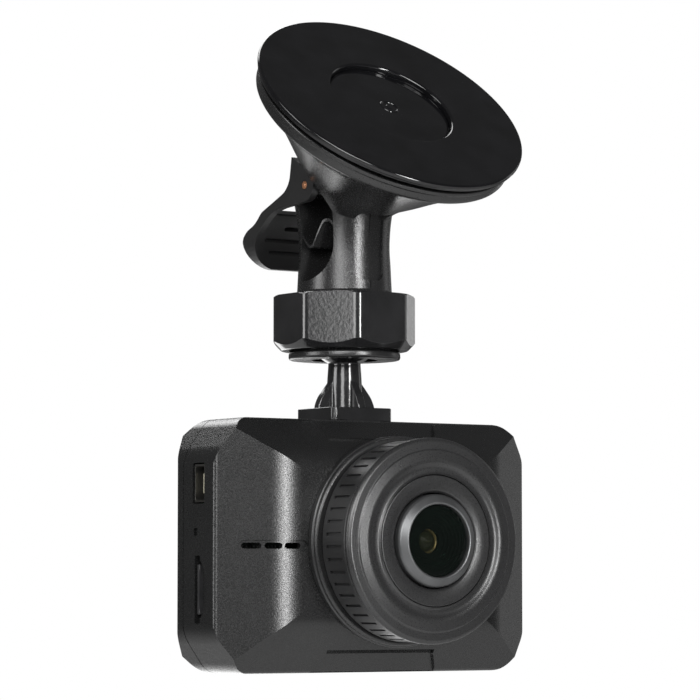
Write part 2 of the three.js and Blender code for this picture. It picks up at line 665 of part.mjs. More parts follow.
function makeScreen(parent) {
  const glassRear = CASE.rearDepth - SCREEN.sunk;
  const glassFront = glassRear - SCREEN.glass;
  const window = slab(SCREEN.width, SCREEN.height, 0, SCREEN.z, glassFront, glassRear);
  piece('display_window', window, FINISH.glass, parent);
  const panelRear = Math.min(glassFront, rearInnerY) - CLEARANCE;
  const panelFront = panelRear - LCD.thickness;
  const width = SCREEN.width + 2 * LCD.border;
  const panel = slab(width, SCREEN.height + 2 * LCD.border, 0, SCREEN.z, panelFront, panelRear);
  piece('lcd_panel', panel, FINISH.chip, parent);

  const start = width / 2 + CLEARANCE;
  const out = start + RIBBON.reach;
  const high = (panelFront + panelRear) / 2;
  const low = boardFrontY + BOARD.thickness + CLEARANCE;
  const thick = RIBBON.thickness;
  const strip = [
    [start, high], [start, high + thick], [out, high + thick], [out, low], [start - 3, low],
    [start - 3, low + thick], [out - thick, low + thick], [out - thick, high],
  ];
  const ribbon = prism(strip, 'z', RIBBON.z, RIBBON.z + RIBBON.height);
  piece('lcd_ribbon', ribbon, FINISH.copper, parent);
}

function makeKeys(parent) {
  const capRear = CASE.rearDepth + KEY.proud;
  const capFront = capRear - KEY.depth;
  for (const [name, x] of keyPlaces) {
    const cap = prism(obround(KEY.width, KEY.height, x, KEY.z), 'y', capFront, capRear);
    piece(name, cap, FINISH.rubber, parent);
  }
  const matRear = capFront - KEY.travel - CLEARANCE / 3;
  const span = KEY_PITCH * (KEY_NAMES.length - 1) + KEY.width + 2 * KEY_MAT.margin;
  const height = KEY.height + 2 * KEY_MAT.margin;
  const mat = slab(span, height, 0, KEY.z, matRear - KEY_MAT.thickness, matRear);
  piece('key_mat', mat, FINISH.rubber, parent);
}

// ---- Ball joint and bracket ------------------------------------------------------------------------

function sphere(radius, centre, around = 20, down = 12) {
  const geometry = new THREE.SphereGeometry(radius, around, down);
  geometry.rotateX(Math.PI / 2);
  geometry.translate(...centre);
  return solid(geometry);
}

function makeBracket(parent) {
  const ball = sphere(BALL.radius, [0, 0, BALL.z]);
  const plateBottom = CLEARANCE / 2;
  const post = turned([
    [0, plateBottom + 0.5], [STUD.rootRadius, plateBottom + 0.5], [STUD.rootRadius, STUD.rootZ],
    [STUD.neckRadius, STUD.neckZ], [STUD.neckRadius, STUD.neckZ + 2], [0, STUD.neckZ + 2],
  ], 16);
  const { width, depth, corner } = PLATE;
  const plateOutline = [
    [-width / 2 + corner, -depth / 2], [width / 2 - corner, -depth / 2], [width / 2, -depth / 2 + corner],
    [width / 2, depth / 2 - corner], [width / 2 - corner, depth / 2], [-width / 2 + corner, depth / 2],
    [-width / 2, depth / 2 - corner], [-width / 2, -depth / 2 + corner],
  ];
  const plate = prism(plateOutline, 'z', plateBottom, PLATE.top);
  const finHalf = STUD.finThickness / 2;
  const fin = (half) => [
    [-half, PLATE.top - 0.1], [half, PLATE.top - 0.1], [STUD.rootRadius - 0.5, STUD.rootZ],
    [-STUD.rootRadius + 0.5, STUD.rootZ],
  ];
  const finAcross = prism(fin(width / 2 - 0.2), 'y', -finHalf, finHalf);
  const finAlong = prism(fin(depth / 2 - 0.2), 'x', -finHalf, finHalf);
  const flangeTop = -RAIL.stemHeight;
  const stem = block(
    [-RAIL.stem / 2, -depth / 2, flangeTop - 0.1],
    [RAIL.stem / 2, depth / 2, plateBottom + 0.1],
  );
  const flange = block(
    [-RAIL.flange / 2, -depth / 2, flangeTop - RAIL.flangeHeight],
    [RAIL.flange / 2, depth / 2, flangeTop],
  );
  const rest = [post, plate, finAcross, finAlong, stem, flange];
  piece('ball_bracket', rest.reduce((left, part) => left.add(part), ball), FINISH.glossPlastic, parent);
}

// A thin part of a hollow sphere round the ball, between two angles down from the top.
function liner(inner, { from, to }, steps = 5) {
  const arc = (radius, start, end) => Array.from({ length: steps + 1 }, (_, step) => {
    const angle = THREE.MathUtils.degToRad(start + ((end - start) * step) / steps);
    return [radius * Math.sin(angle), BALL.z + radius * Math.cos(angle)];
  });
  const profile = [...arc(inner, from, to), ...arc(inner + SHELL_STEP, to, from)];
  return turned([...profile, profile[0]]);
}

function makeLiners(parent) {
  piece('ball_washer', liner(washerInner, WASHER), FINISH.liner, parent);
  piece('ball_seat', liner(seatInner, SEAT), FINISH.liner, parent);
}

function makeNut(parent) {
  const outline = Array.from({ length: 8 }, (_, side) => {
    const angle = ((side + 0.5) * Math.PI) / 4;
    return [nutRadius * Math.cos(angle), nutRadius * Math.sin(angle)];
  });
  const cone = turned([
    [0, NUT.bottom - 0.1], [nutRadius - NUT.chamfer, NUT.bottom - 0.1],
    [nutRadius + 0.1, NUT.bottom + NUT.chamfer], [nutRadius + 0.1, NUT.top + 1], [0, NUT.top + 1],
  ], 32);
  const web = COLLET.top + CLEARANCE;
  const bore = turned([
    [0, NUT.bottom - 1], [nutBore, NUT.bottom - 1], [nutBore, web], [NECK.collarRadius + CLEARANCE, web],
    [NECK.collarRadius + CLEARANCE, NUT.top + 1], [0, NUT.top + 1],
  ], 32);
  const nut = prism(outline, 'z', NUT.bottom, NUT.top).intersect(cone).subtract(bore);
  piece('clamp_nut', nut, FINISH.glossPlastic, parent);
}

// ---- Suction mount ---------------------------------------------------------------------------------

// The neck and elbow: a collet round the ball, a collar, a waist, and a rounded top at the elbow.
function neckSolid() {
  const dome = Array.from({ length: 6 }, (_, step) => {
    const angle = (step * Math.PI) / 10;
    return [NECK.radius * Math.cos(angle), NECK.elbowZ + NECK.radius * Math.sin(angle)];
  });
  dome[dome.length - 1][0] = 0;
  return turned([
    [0, COLLET.bottom], [colletRadius + COLLET.lip, COLLET.bottom], [colletRadius, COLLET.lipTop],
    [colletRadius, COLLET.top], [NECK.collarRadius, COLLET.top], [NECK.collarRadius, NECK.collarTop],
    [NECK.radius, NECK.collarTop + 0.5], [NECK.waistRadius, NECK.waistZ], [NECK.radius, NECK.flareZ],
    ...dome,
  ], 28);
}

function bellSolid() {
  const profile = [
    [0, CUP.rimFront], [CUP.rimRadius, CUP.rimFront], [CUP.rimRadius, CUP.rimRear], ...BELL,
    [NECK.radius, CUP.reach], [0, CUP.reach],
  ];
  return turned(profile.map(([r, depth]) => [r, -depth]), FINE, cupMatrix);
}

function bellCavity() {
  const inner = CUP.rimRadius - CUP.wall;
  const profile = [
    [0, CUP.rimFront - 1], [inner, CUP.rimFront - 1], [inner, CUP.rimRear - 0.8],
    [BELL[0][0] - CUP.wall, BELL[0][1] - 0.3], [BELL[2][0] - CUP.wall, BELL[2][1] - 0.8],
    [ROD.radius * 3, CUP.cavityDepth], [0, CUP.cavityDepth],
  ];
  return turned(profile.map(([r, depth]) => [r, -depth]), FINE, cupMatrix);
}

function pocketOutline() {
  const { bottom, top, front, rear, round } = POCKET;
  const shape = new THREE.Shape();
  shape.moveTo(rear, bottom);
  shape.lineTo(rear, top);
  shape.lineTo(front, top);
  shape.lineTo(front, bottom + round);
  shape.quadraticCurveTo(front + 1, bottom + 1, front + round, bottom);
  shape.closePath();
  return shape;
}

function sector(radius, fromDegrees, toDegrees) {
  const shape = new THREE.Shape();
  const [start, end] = [fromDegrees, toDegrees].map(THREE.MathUtils.degToRad);
  shape.moveTo(leverPin.y, leverPin.z);
  shape.lineTo(leverPin.y + radius * Math.cos(start), leverPin.z + radius * Math.sin(start));
  shape.absarc(leverPin.y, leverPin.z, radius, start, end);
  shape.closePath();
  return shape;
}

// The room in the bell that one lever cheek turns in.
function cheekSlot(side) {
  const inner = LEVER.inner - CLEARANCE;
  const outer = LEVER.inner + LEVER.cheek + CLEARANCE;
  const [from, to] = side > 0 ? [inner, outer] : [-outer, -inner];
  return prism(sector(LEVER.arm, -40, 80), 'x', from, to, 8)
    .add(prism(sector(LEVER.heel, 40, 88 + LEVER_OPEN), 'x', from, to, 8))
    .add(bar(LEVER.head + 2 * CLEARANCE, 'x', [leverPin.y, leverPin.z], from, to, 16));
}

function makeHousing(parent) {
  let housing = neckSolid().add(bellSolid()).subtract(bellCavity());
  housing = housing.subtract(sphere(socketRadius, [0, 0, BALL.z]));
  const rodBore = turned([
    [0, -CUP.cavityDepth + 1], [ROD.radius + CLEARANCE, -CUP.cavityDepth + 1],
    [ROD.radius + CLEARANCE, -ROD.end - CLEARANCE], [0, -ROD.end - CLEARANCE],
  ], 16, cupMatrix);
  const pinPlace = [leverPin.y, leverPin.z];
  const pinBore = bar(LEVER.pinRadius + CLEARANCE, 'x', pinPlace, -LEVER.inner, LEVER.inner, 12);
  housing = housing.subtract(rodBore).subtract(pinBore);
  for (const side of [-1, 1]) {
    const [from, to] = side > 0 ? [POCKET.web, NECK.radius + 2] : [-NECK.radius - 2, -POCKET.web];
    housing = housing.subtract(prism(pocketOutline(), 'x', from, to));
    housing = housing.subtract(cheekSlot(side));
  }
  const slitTop = COLLET.top - 1;
  const half = COLLET.slit / 2;
  const reach = colletRadius + COLLET.lip + 1;
  const slit = block([-reach, -half, COLLET.bottom - 1], [reach, half, slitTop]);
  housing = housing.subtract(slit.rotate([0, 0, COLLET.slitTurn]));
  piece('cup_housing', housing, FINISH.glossPlastic, parent);
}

function makeCupParts(parent) {
  const cup = new THREE.Group();
  cup.position.copy(faceCentre);
  cup.rotation.x = CUP.tilt; // heights below are towards the windscreen, so depths are negative
  parent.add(cup);

  const { padRadius: pad, padThickness: thick, recessRadius: recess, recessDepth } = CUP;
  piece('suction_pad', turned([
    [recess, -thick], [pad - 1.2, -thick], [pad, -thick + 0.9], [pad, -0.4], [pad - 0.5, 0], [recess, 0],
    [recess, -thick],
  ], FINE), FINISH.pad, cup);

  const coreFront = -recessDepth;
  const coreRear = coreFront - PAD_CENTRE.thickness;
  const core = turned(ringProfile(0, recess - CLEARANCE, coreRear, coreFront), FINE);
  piece('pad_centre', core, FINISH.pad, cup);
  const plateFront = coreRear - CLEARANCE;
  const plateRear = plateFront - ROD.plateThickness;
  const plate = turned(ringProfile(0, ROD.plateRadius, plateRear, plateFront));
  piece('pull_plate', plate, FINISH.satinPlastic, cup);

  const rodFront = plateRear - CLEARANCE;
  const eye = LEVER.pinRadius + CLEARANCE;
  const slot = obround(2 * eye + ROD.travel, 2 * eye, -LEVER.pinDepth - ROD.travel / 2, 0);
  const slotTurn = new THREE.Matrix4().makeBasis(Z, Y, X.clone().negate());
  const slotGeometry = new THREE.ExtrudeGeometry(slot, { depth: 20, bevelEnabled: false, curveSegments: 6 });
  slotGeometry.translate(0, 0, -10);
  slotGeometry.applyMatrix4(slotTurn);
  const rod = turned(ringProfile(0, ROD.radius, -ROD.end, rodFront), 16).subtract(solid(slotGeometry));
  piece('pull_rod', rod, FINISH.steel, cup);

  const springFront = rodFront - SPRING.wire - CLEARANCE;
  const springRear = -CUP.cavityDepth + SPRING.wire + CLEARANCE;
  const steps = SPRING.turns * SPRING.stepsPerTurn;
  const coil = Array.from({ length: steps + 1 }, (_, step) => {
    const angle = (step / SPRING.stepsPerTurn) * Math.PI * 2;
    const height = springFront + ((springRear - springFront) * step) / steps;
    return new THREE.Vector3(SPRING.radius * Math.cos(angle), SPRING.radius * Math.sin(angle), height);
  });
  const wire = Array.from({ length: SPRING.sides }, (_, side) => {
    const angle = (side / SPRING.sides) * Math.PI * 2;
    return new THREE.Vector2(SPRING.wire * Math.cos(angle), SPRING.wire * Math.sin(angle));
  });
  const spring = new THREE.ExtrudeGeometry(new THREE.Shape(wire), {
    steps,
    extrudePath: new THREE.CatmullRomCurve3(coil),
    bevelEnabled: false,
  });
  piece('return_spring', solid(spring), FINISH.steel, cup);
}

// ---- Lever -----------------------------------------------------------------------------------------

// The side of a cheek, with the pin at (0, 0): a round head, a heel on the bell, and an arm to the paddle.
function cheekOutline() {
  const shape = new THREE.Shape();
  const [start, end] = [150, 268].map(THREE.MathUtils.degToRad);
  shape.moveTo(5.4, 7);
  shape.lineTo(LEVER.head * Math.cos(start), LEVER.head * Math.sin(start));
  shape.absarc(0, 0, LEVER.head, start, end);
  shape.lineTo(10.3, -4.35);
  shape.quadraticCurveTo(14.2, -4.6, 18.4, -8);
  shape.quadraticCurveTo(22.3, -11.4, 23.3, -17.2);
  shape.lineTo(25, -17.2);
  shape.quadraticCurveTo(29, -10.4, 24.6, -8.5);
  shape.quadraticCurveTo(20.9, -7.4, 19.6, -5.8);
  shape.quadraticCurveTo(18.6, -4.6, 12.8, -2.6);
  shape.quadraticCurveTo(6.6, -0.6, 6.1, 3);
  shape.closePath();
  return shape;
}

// The paddle that joins the cheeks and hangs behind the neck.
function paddleOutline() {
  const shape = new THREE.Shape();
  shape.moveTo(17, -3.9);
  shape.lineTo(15.2, -5.2);
  shape.quadraticCurveTo(16.8, -6.2, 18.4, -8);
  shape.quadraticCurveTo(22.3, -11.4, 23.3, -17.2);
  shape.lineTo(25, -17.2);
  shape.quadraticCurveTo(29, -10.4, 24.6, -8.5);
  shape.quadraticCurveTo(20.9, -7.4, 19.6, -5.8);
  shape.quadraticCurveTo(18.8, -4.8, 17, -3.9);
  shape.closePath();
  return shape;
}

function makeLever(parent) {
  const group = new THREE.Group();
  group.position.copy(leverPin);
  parent.add(group);
  const outer = LEVER.inner + LEVER.cheek;
  let lever = prism(paddleOutline(), 'x', -outer, outer);
  for (const [from, to] of [[-outer, -LEVER.inner], [LEVER.inner, outer]]) {
    lever = lever.add(prism(cheekOutline(), 'x', from, to));
  }
  lever = lever.subtract(bar(LEVER.pinRadius + CLEARANCE / 2, 'x', [0, 0], -outer - 1, outer + 1, 12));
  for (const [length, height] of GROOVES) {
    const reach = GROOVE.reach - (height - GROOVES[0][1]) * GROOVE.lean;
    lever = lever.subtract(block(
      [-length / 2, reach - 1, height - GROOVE.half],
      [length / 2, reach + GROOVE.depth, height + GROOVE.half],
    ));
  }
  piece('lever', lever, FINISH.paddle, group);
  piece('lever_pin', bar(LEVER.pinRadius, 'x', [0, 0], -outer - 0.2, outer + 0.2, 12), FINISH.copper, group);
}

// ---- Assembly --------------------------------------------------------------------------------------

const dashCamera = new THREE.Group();
dashCamera.position.copy(faceCentre).negate();

const cameraCase = new THREE.Group();
cameraCase.position.z = -CASE.height;
dashCamera.add(cameraCase);

const mountSections = [makeHousing, makeCupParts, makeLever, makeNut, makeLiners, makeBracket];
const caseSections = [
  makeFrontShell, makeRearCover, makeScrews, makeLens, makeBoard, makeBoardParts, makeUsb, makeCardSocket,
  makeReset, makeScreen, makeKeys,
];
for (const make of mountSections) make(dashCamera);
for (const make of caseSections) make(cameraCase);

export default dashCamera;
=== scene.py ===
import json
import math

import bmesh
import bpy
from mathutils import Matrix, Vector


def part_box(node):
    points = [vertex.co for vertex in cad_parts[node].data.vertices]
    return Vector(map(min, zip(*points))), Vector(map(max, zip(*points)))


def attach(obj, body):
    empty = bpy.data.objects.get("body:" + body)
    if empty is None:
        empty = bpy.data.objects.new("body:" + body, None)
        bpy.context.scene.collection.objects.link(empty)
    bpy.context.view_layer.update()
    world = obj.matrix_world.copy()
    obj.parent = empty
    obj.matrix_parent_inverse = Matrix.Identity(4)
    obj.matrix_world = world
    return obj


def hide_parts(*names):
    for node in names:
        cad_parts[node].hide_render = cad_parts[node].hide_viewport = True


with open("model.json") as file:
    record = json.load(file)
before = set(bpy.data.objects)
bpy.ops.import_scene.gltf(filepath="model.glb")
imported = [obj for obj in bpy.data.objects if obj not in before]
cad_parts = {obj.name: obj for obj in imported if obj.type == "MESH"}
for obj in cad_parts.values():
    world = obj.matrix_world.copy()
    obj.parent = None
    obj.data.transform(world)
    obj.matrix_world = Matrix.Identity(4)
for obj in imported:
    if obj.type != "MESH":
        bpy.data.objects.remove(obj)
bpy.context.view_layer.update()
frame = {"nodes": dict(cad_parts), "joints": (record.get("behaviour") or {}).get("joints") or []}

scene = bpy.context.scene

# ---- Places taken from the frame -------------------------------------------------------------------
# Shapes below are drawn in millimetres. NECK has its zero on the neck's axis, level with the underside of
# the case; CUP is at the suction face with +Z out of it; LENS is on the lens axis with +Z forwards.

MM = 0.001


def middle(node):
    low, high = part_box(node)
    return (low + high) / 2


def joint_axis(name):
    return Vector(next(j["axis"] for j in frame["joints"] if j["name"] == name))


case_low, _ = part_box("front_shell")
neck_axis = middle("clamp_nut")
lens_middle = middle("lens_barrel")
ORIGIN = Vector((neck_axis.x, neck_axis.y, case_low.z))
TO_METRES = Matrix.Scale(MM, 4)
NECK = Matrix.Translation(ORIGIN) @ TO_METRES
CUP = Vector((0, 0, 1)).rotation_difference(joint_axis("rod_slide")).to_matrix().to_4x4() @ TO_METRES
LENS = (
    Matrix.Translation((lens_middle.x, ORIGIN.y, lens_middle.z))
    @ Matrix.Rotation(math.pi / 2, 4, "X")
    @ TO_METRES
)
pin_place = middle("lever_pin")
PIN = Matrix.Translation(pin_place) @ TO_METRES


def in_neck(node):
    """A CAD node's lowest and highest corner in millimetres, measured from NECK's zero."""
    return [(corner - ORIGIN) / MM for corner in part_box(node)]


# ---- Mesh helpers ----------------------------------------------------------------------------------

ROUND = 128  # segments round a large turned piece
SMALL_ROUND = 64


def build(name, points, faces, spot=NECK):
    mesh = bpy.data.meshes.new(name)
    mesh.from_pydata([spot @ Vector(p) for p in points], [], faces)
    piece = bpy.data.objects.new(name, mesh)
    scene.collection.objects.link(piece)
    work = bmesh.new()
    work.from_mesh(mesh)
    bmesh.ops.remove_doubles(work, verts=work.verts, dist=1e-7)
    bmesh.ops.recalc_face_normals(work, faces=work.faces)
    work.to_mesh(mesh)
    work.free()
    return piece


def softened(profile, closed, steps=4):
    """Rounds each corner of a profile. A point is (radius, height) or (radius, height, rounding)."""
    result = []
    count = len(profile)
    for i, point in enumerate(profile):
        rounding = point[2] if len(point) > 2 else 0
        at_end = not closed and i in (0, count - 1)
        here = Vector(point[:2])
        if rounding <= 0 or at_end:
            result.append(tuple(here))
            continue
        before = Vector(profile[i - 1][:2]) - here
        after = Vector(profile[(i + 1) % count][:2]) - here
        reach = min(rounding, before.length * 0.48, after.length * 0.48)
        start = here + before.normalized() * reach
        end = here + after.normalized() * reach
        for step in range(steps + 1):
            t = step / steps
            result.append(tuple(start * (1 - t) ** 2 + here * 2 * t * (1 - t) + end * t ** 2))
    return result


def turned(name, profile, spot=NECK, segments=ROUND):
    """A profile turned about Z. It closes on itself unless it starts and ends on the axis."""
    closed = profile[0][0] > 0
    outline = softened(profile, closed)
    points = []
    rings = []
    for radius, height in outline:
        if radius < 1e-6:
            rings.append([len(points)] * segments)
            points.append((0, 0, height))
            continue
        rings.append([len(points) + k for k in range(segments)])
        for k in range(segments):
            angle = 2 * math.pi * k / segments
            points.append((radius * math.cos(angle), radius * math.sin(angle), height))
    pairs = list(zip(rings, rings[1:] + rings[:1])) if closed else list(zip(rings, rings[1:]))
    faces = []
    for low, high in pairs:
        for k in range(segments):
            after = (k + 1) % segments
            face = dict.fromkeys((low[k], low[after], high[after], high[k]))
            if len(face) > 2:
                faces.append(tuple(face))
    return build(name, points, faces, spot)


AXES = {
    "x": lambda u, v, w: (w, u, v),
    "y": lambda u, v, w: (u, w, v),
    "z": lambda u, v, w: (u, v, w),
}


def prism(name, outline, axis, low, high, spot=NECK):
    """An outline drawn out along an axis. Its two coordinates are the other two axes, in order."""
    place = AXES[axis]
    count = len(outline)
    points = [place(u, v, low) for u, v in outline] + [place(u, v, high) for u, v in outline]
    faces = [tuple(range(count)), tuple(range(2 * count - 1, count - 1, -1))]
    faces += [(i, (i + 1) % count, count + (i + 1) % count, count + i) for i in range(count)]
    return build(name, points, faces, spot)


def block(name, low, high, spot=NECK):
    outline = [(low[0], low[1]), (high[0], low[1]), (high[0], high[1]), (low[0], high[1])]
    return prism(name, outline, "z", low[2], high[2], spot)


def arc(u, v, radius, start, end, steps=12):
    angles = [math.radians(start + (end - start) * i / steps) for i in range(steps + 1)]
    return [(u + radius * math.cos(a), v + radius * math.sin(a)) for a in angles]


def obround(width, height, u, v, steps=12):
    end = min(width, height) / 2
    reach = (width - height) / 2
    return arc(u + reach, v, end, -90, 90, steps) + arc(u - reach, v, end, 90, 270, steps)


def rounded_box_outline(width, height, u, v, corner, steps=8):
    du, dv = width / 2 - corner, height / 2 - corner
    outline = []
    for side_u, side_v, start in ((1, -1, -90), (1, 1, 0), (-1, 1, 90), (-1, -1, 180)):
        outline += arc(u + side_u * du, v + side_v * dv, corner, start, start + 90, steps)
    return outline


def curve(points, steps=6):
    """A smooth outline: each (u, v, rounding) corner is rounded, and corners without one stay sharp."""
    return softened(points, True, steps)


def inset(outline, distance):
    """Moves every side of a convex outline inwards by the same distance."""
    sides = []
    for start, end in zip(outline, outline[1:] + outline[:1]):
        along = (Vector(end) - Vector(start)).normalized()
        inward = Vector((-along.y, along.x))
        sides.append((inward, inward.dot(Vector(start)) + distance))
    corners = []
    for (before, reach), (inward, own_reach) in zip(sides[-1:] + sides[:-1], sides):
        cross = before.x * inward.y - before.y * inward.x
        corners.append((
            (reach * inward.y - own_reach * before.y) / cross,
            (before.x * own_reach - inward.x * reach) / cross,
        ))
    return corners


def settle(piece):
    """Turns a piece's modifiers into plain mesh."""
    bpy.context.view_layer.update()
    evaluated = piece.evaluated_get(bpy.context.evaluated_depsgraph_get())
    mesh = bpy.data.meshes.new_from_object(evaluated)
    piece.modifiers.clear()
    old = piece.data
    piece.data = mesh
    bpy.data.meshes.remove(old)
    return piece


def combine(piece, operation, others):
    for other in others:
        modifier = piece.modifiers.new("combine", "BOOLEAN")
        modifier.operation = operation
        modifier.solver = "EXACT"
        modifier.object = other
        settle(piece)
        bpy.data.objects.remove(other)
    return piece


def cut(piece, *others):
    return combine(piece, "DIFFERENCE", others)


def add(piece, *others):
    return combine(piece, "UNION", others)


def keep_inside(piece, *others):
    return combine(piece, "INTERSECT", others)


def bevel(piece, width, segments=3, angle=30):
    modifier = piece.modifiers.new("bevel", "BEVEL")
    modifier.width = width * MM
    modifier.segments = segments
    modifier.limit_method = "ANGLE"
    modifier.angle_limit = math.radians(angle)
    modifier.use_clamp_overlap = True
    modifier.miter_outer = "MITER_ARC"
    return settle(piece)


def clean(piece):
    work = bmesh.new()
    work.from_mesh(piece.data)
    bmesh.ops.remove_doubles(work, verts=work.verts, dist=2e-6)
    bmesh.ops.dissolve_degenerate(work, edges=work.edges, dist=2e-6)
    work.to_mesh(piece.data)
    work.free()
    return piece


def stand_for(piece, body, slot, finish, *nodes, angle=32):
    """Finishes a visible piece: smooth shading, material, the body it rides on and the nodes it shows."""
    mesh = piece.data
    mesh.polygons.foreach_set("use_smooth", [True] * len(mesh.polygons))
    mesh.set_sharp_from_angle(angle=math.radians(angle))
    # Large flat faces keep their own direction, so shading turns only across the rounded edges.
    even = piece.modifiers.new("even", "WEIGHTED_NORMAL")
    even.keep_sharp = True
    even.weight = 100
    settle(piece)
    piece.data.materials.clear()
    piece.data.materials.append(finish)
    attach(piece, body)
    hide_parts(*nodes)
    return piece


# ---- Materials -------------------------------------------------------------------------------------

def finish_of(name, colour, roughness, metallic=0.0, grain=0.35, bump=0.12, vary=0.25, coat=0.0, speckle=0.0):
    """A moulded or machined surface: fine grain in mm, uneven gloss and slight tone variation."""
    made = bpy.data.materials.new(name)
    made.use_nodes = True
    nodes, links = made.node_tree.nodes, made.node_tree.links
    shader = nodes["Principled BSDF"]
    shader.inputs["Metallic"].default_value = metallic
    shader.inputs["Coat Weight"].default_value = coat
    shader.inputs["Coat Roughness"].default_value = 0.08
    place = nodes.new("ShaderNodeTexCoord")

    def noise(size_mm, detail=2.0):
        texture = nodes.new("ShaderNodeTexNoise")
        texture.inputs["Scale"].default_value = 1 / (size_mm * MM)
        texture.inputs["Detail"].default_value = detail
        links.new(place.outputs["Object"], texture.inputs["Vector"])
        return texture

    def spread(source, low, high):
        mapping = nodes.new("ShaderNodeMapRange")
        mapping.inputs["From Min"].default_value = 0.3
        mapping.inputs["From Max"].default_value = 0.7
        mapping.inputs["To Min"].default_value = low
        mapping.inputs["To Max"].default_value = high
        links.new(source.outputs["Fac"], mapping.inputs["Value"])
        return mapping

    cloud = noise(9.0, 3.0)
    tone = nodes.new("ShaderNodeMix")
    tone.data_type = "RGBA"
    tone.inputs["A"].default_value = (*[c * (1 - vary) for c in colour], 1)
    tone.inputs["B"].default_value = (*[c * (1 + vary) for c in colour], 1)
    links.new(spread(cloud, 0.0, 1.0).outputs["Result"], tone.inputs["Factor"])
    links.new(tone.outputs["Result"], shader.inputs["Base Color"])
    fine = noise(grain)
    gloss = spread(fine, roughness * (1 - speckle), roughness * (1 + speckle))
    if speckle == 0:
        gloss = spread(cloud, roughness * 0.88, roughness * 1.12)
    links.new(gloss.outputs["Result"], shader.inputs["Roughness"])
    relief = nodes.new("ShaderNodeBump")
    relief.inputs["Strength"].default_value = bump
    relief.inputs["Distance"].default_value = grain * MM * 0.3
    links.new(fine.outputs["Fac"], relief.inputs["Height"])
    links.new(relief.outputs["Normal"], shader.inputs["Normal"])
    return made


def glass_of(name, colour, roughness, alpha):
    """Dark coated glass, clear enough to see into, with a faint uneven coating."""
    made = finish_of(name, colour, roughness, grain=3.0, bump=0.02, vary=0.3, coat=0.0)
    shader = made.node_tree.nodes["Principled BSDF"]
    shader.inputs["Alpha"].default_value = alpha
    shader.inputs["IOR"].default_value = 1.52
    return made


FINISH = {
    "case": finish_of(
        "case_plastic", (0.008, 0.0081, 0.0082), 0.26, grain=0.26, bump=0.36, vary=0.1, speckle=0.2,
    ),
    "gloss": finish_of("gloss_plastic", (0.011, 0.011, 0.0115), 0.16, grain=0.8, bump=0.1, coat=0.3),
    "neck": finish_of(
        "neck_plastic", (0.012, 0.012, 0.0122), 0.24, grain=0.3, bump=0.42, vary=0.1, speckle=0.2,
    ),
    "satin": finish_of(
        "ring_plastic", (0.015, 0.015, 0.0153), 0.3, grain=0.26, bump=0.3, vary=0.1, speckle=0.15,
    ),
    "ribs": finish_of("rib_plastic", (0.016, 0.016, 0.0163), 0.36, grain=0.26, bump=0.3, vary=0.1),
    "lever": finish_of(
        "lever_plastic", (0.012, 0.012, 0.0122), 0.36, grain=0.3, bump=0.3, vary=0.1, speckle=0.1,
    ),
    "plate": finish_of("bracket_plastic", (0.018, 0.018, 0.0185), 0.34, grain=0.45, bump=0.5, speckle=0.15),
    "pad": finish_of("suction_gel", (0.0035, 0.0035, 0.004), 0.09, grain=2.5, bump=0.015, vary=0.4),
    "bezel": finish_of("bezel_metal", (0.1, 0.102, 0.104), 0.36, metallic=0.75, grain=0.3, bump=0.2),
    "baffle": finish_of("baffle_black", (0.0016, 0.0026, 0.0018), 0.75, grain=0.4, bump=0.1),
    "steel": finish_of("plated_steel", (0.5, 0.49, 0.46), 0.28, metallic=1.0, grain=0.5, bump=0.15),
    # Port metal: the plated steel darkened to grey-black, painted shade standing for the dark inside of the
    # port openings.
    "port": finish_of("port_steel_painted_shade", (0.1, 0.098, 0.092), 0.34, metallic=0.9, grain=0.4, bump=0.15),
    "copper": finish_of("copper_pin", (0.5, 0.24, 0.13), 0.3, metallic=0.85, grain=0.4, bump=0.3),
    "pale": finish_of("pale_contacts", (0.5, 0.47, 0.36), 0.45, grain=0.4, bump=0.3),
    "board": finish_of("circuit_board", (0.02, 0.11, 0.05), 0.4, grain=1.2, bump=0.2),
    "chip": finish_of("chip_black", (0.02, 0.02, 0.021), 0.4, grain=0.4, bump=0.3),
    "foil": finish_of("battery_foil", (0.55, 0.56, 0.58), 0.35, metallic=0.8, grain=2.0, bump=0.4),
    "liner": finish_of("liner_plastic", (0.6, 0.6, 0.56), 0.4, grain=0.6, bump=0.2),
    "rubber": finish_of("key_rubber", (0.018, 0.018, 0.019), 0.6, grain=0.35, bump=0.5),
    "gold": finish_of("gold_retainer", (0.42, 0.33, 0.13), 0.3, metallic=0.7, grain=0.3, bump=0.2),
    "glass": glass_of("front_glass", (0.002, 0.004, 0.003), 0.03, 0.4),
    "lens": glass_of("coated_lens", (0.05, 0.05, 0.02), 0.03, 0.75),
    "screen": glass_of("screen_window", (0.006, 0.006, 0.007), 0.06, 0.85),
}
FINISH["baffle"].node_tree.nodes["Principled BSDF"].inputs["Specular IOR Level"].default_value = 0.1


# ---- Case ------------------------------------------------------------------------------------------

front_low, front_high = in_neck("front_shell")
_, rear_high = in_neck("rear_cover")
HALF = front_high.x
HEIGHT = front_high.z
NOSE = front_low.y
REAR = rear_high.y
SEAM = front_high.y
WALL = 1.8
SIDE_FRONT = -11.6
SIDE_BEVEL = 14.2
TOP_BEVEL, BOTTOM_BEVEL = 8.9, 11.0
CORNER_ACROSS, CORNER_UP = 6.2, 8.7
REAR_BEVEL = 4.0
PARTING = 0.14  # half the groove between the shell and the cover


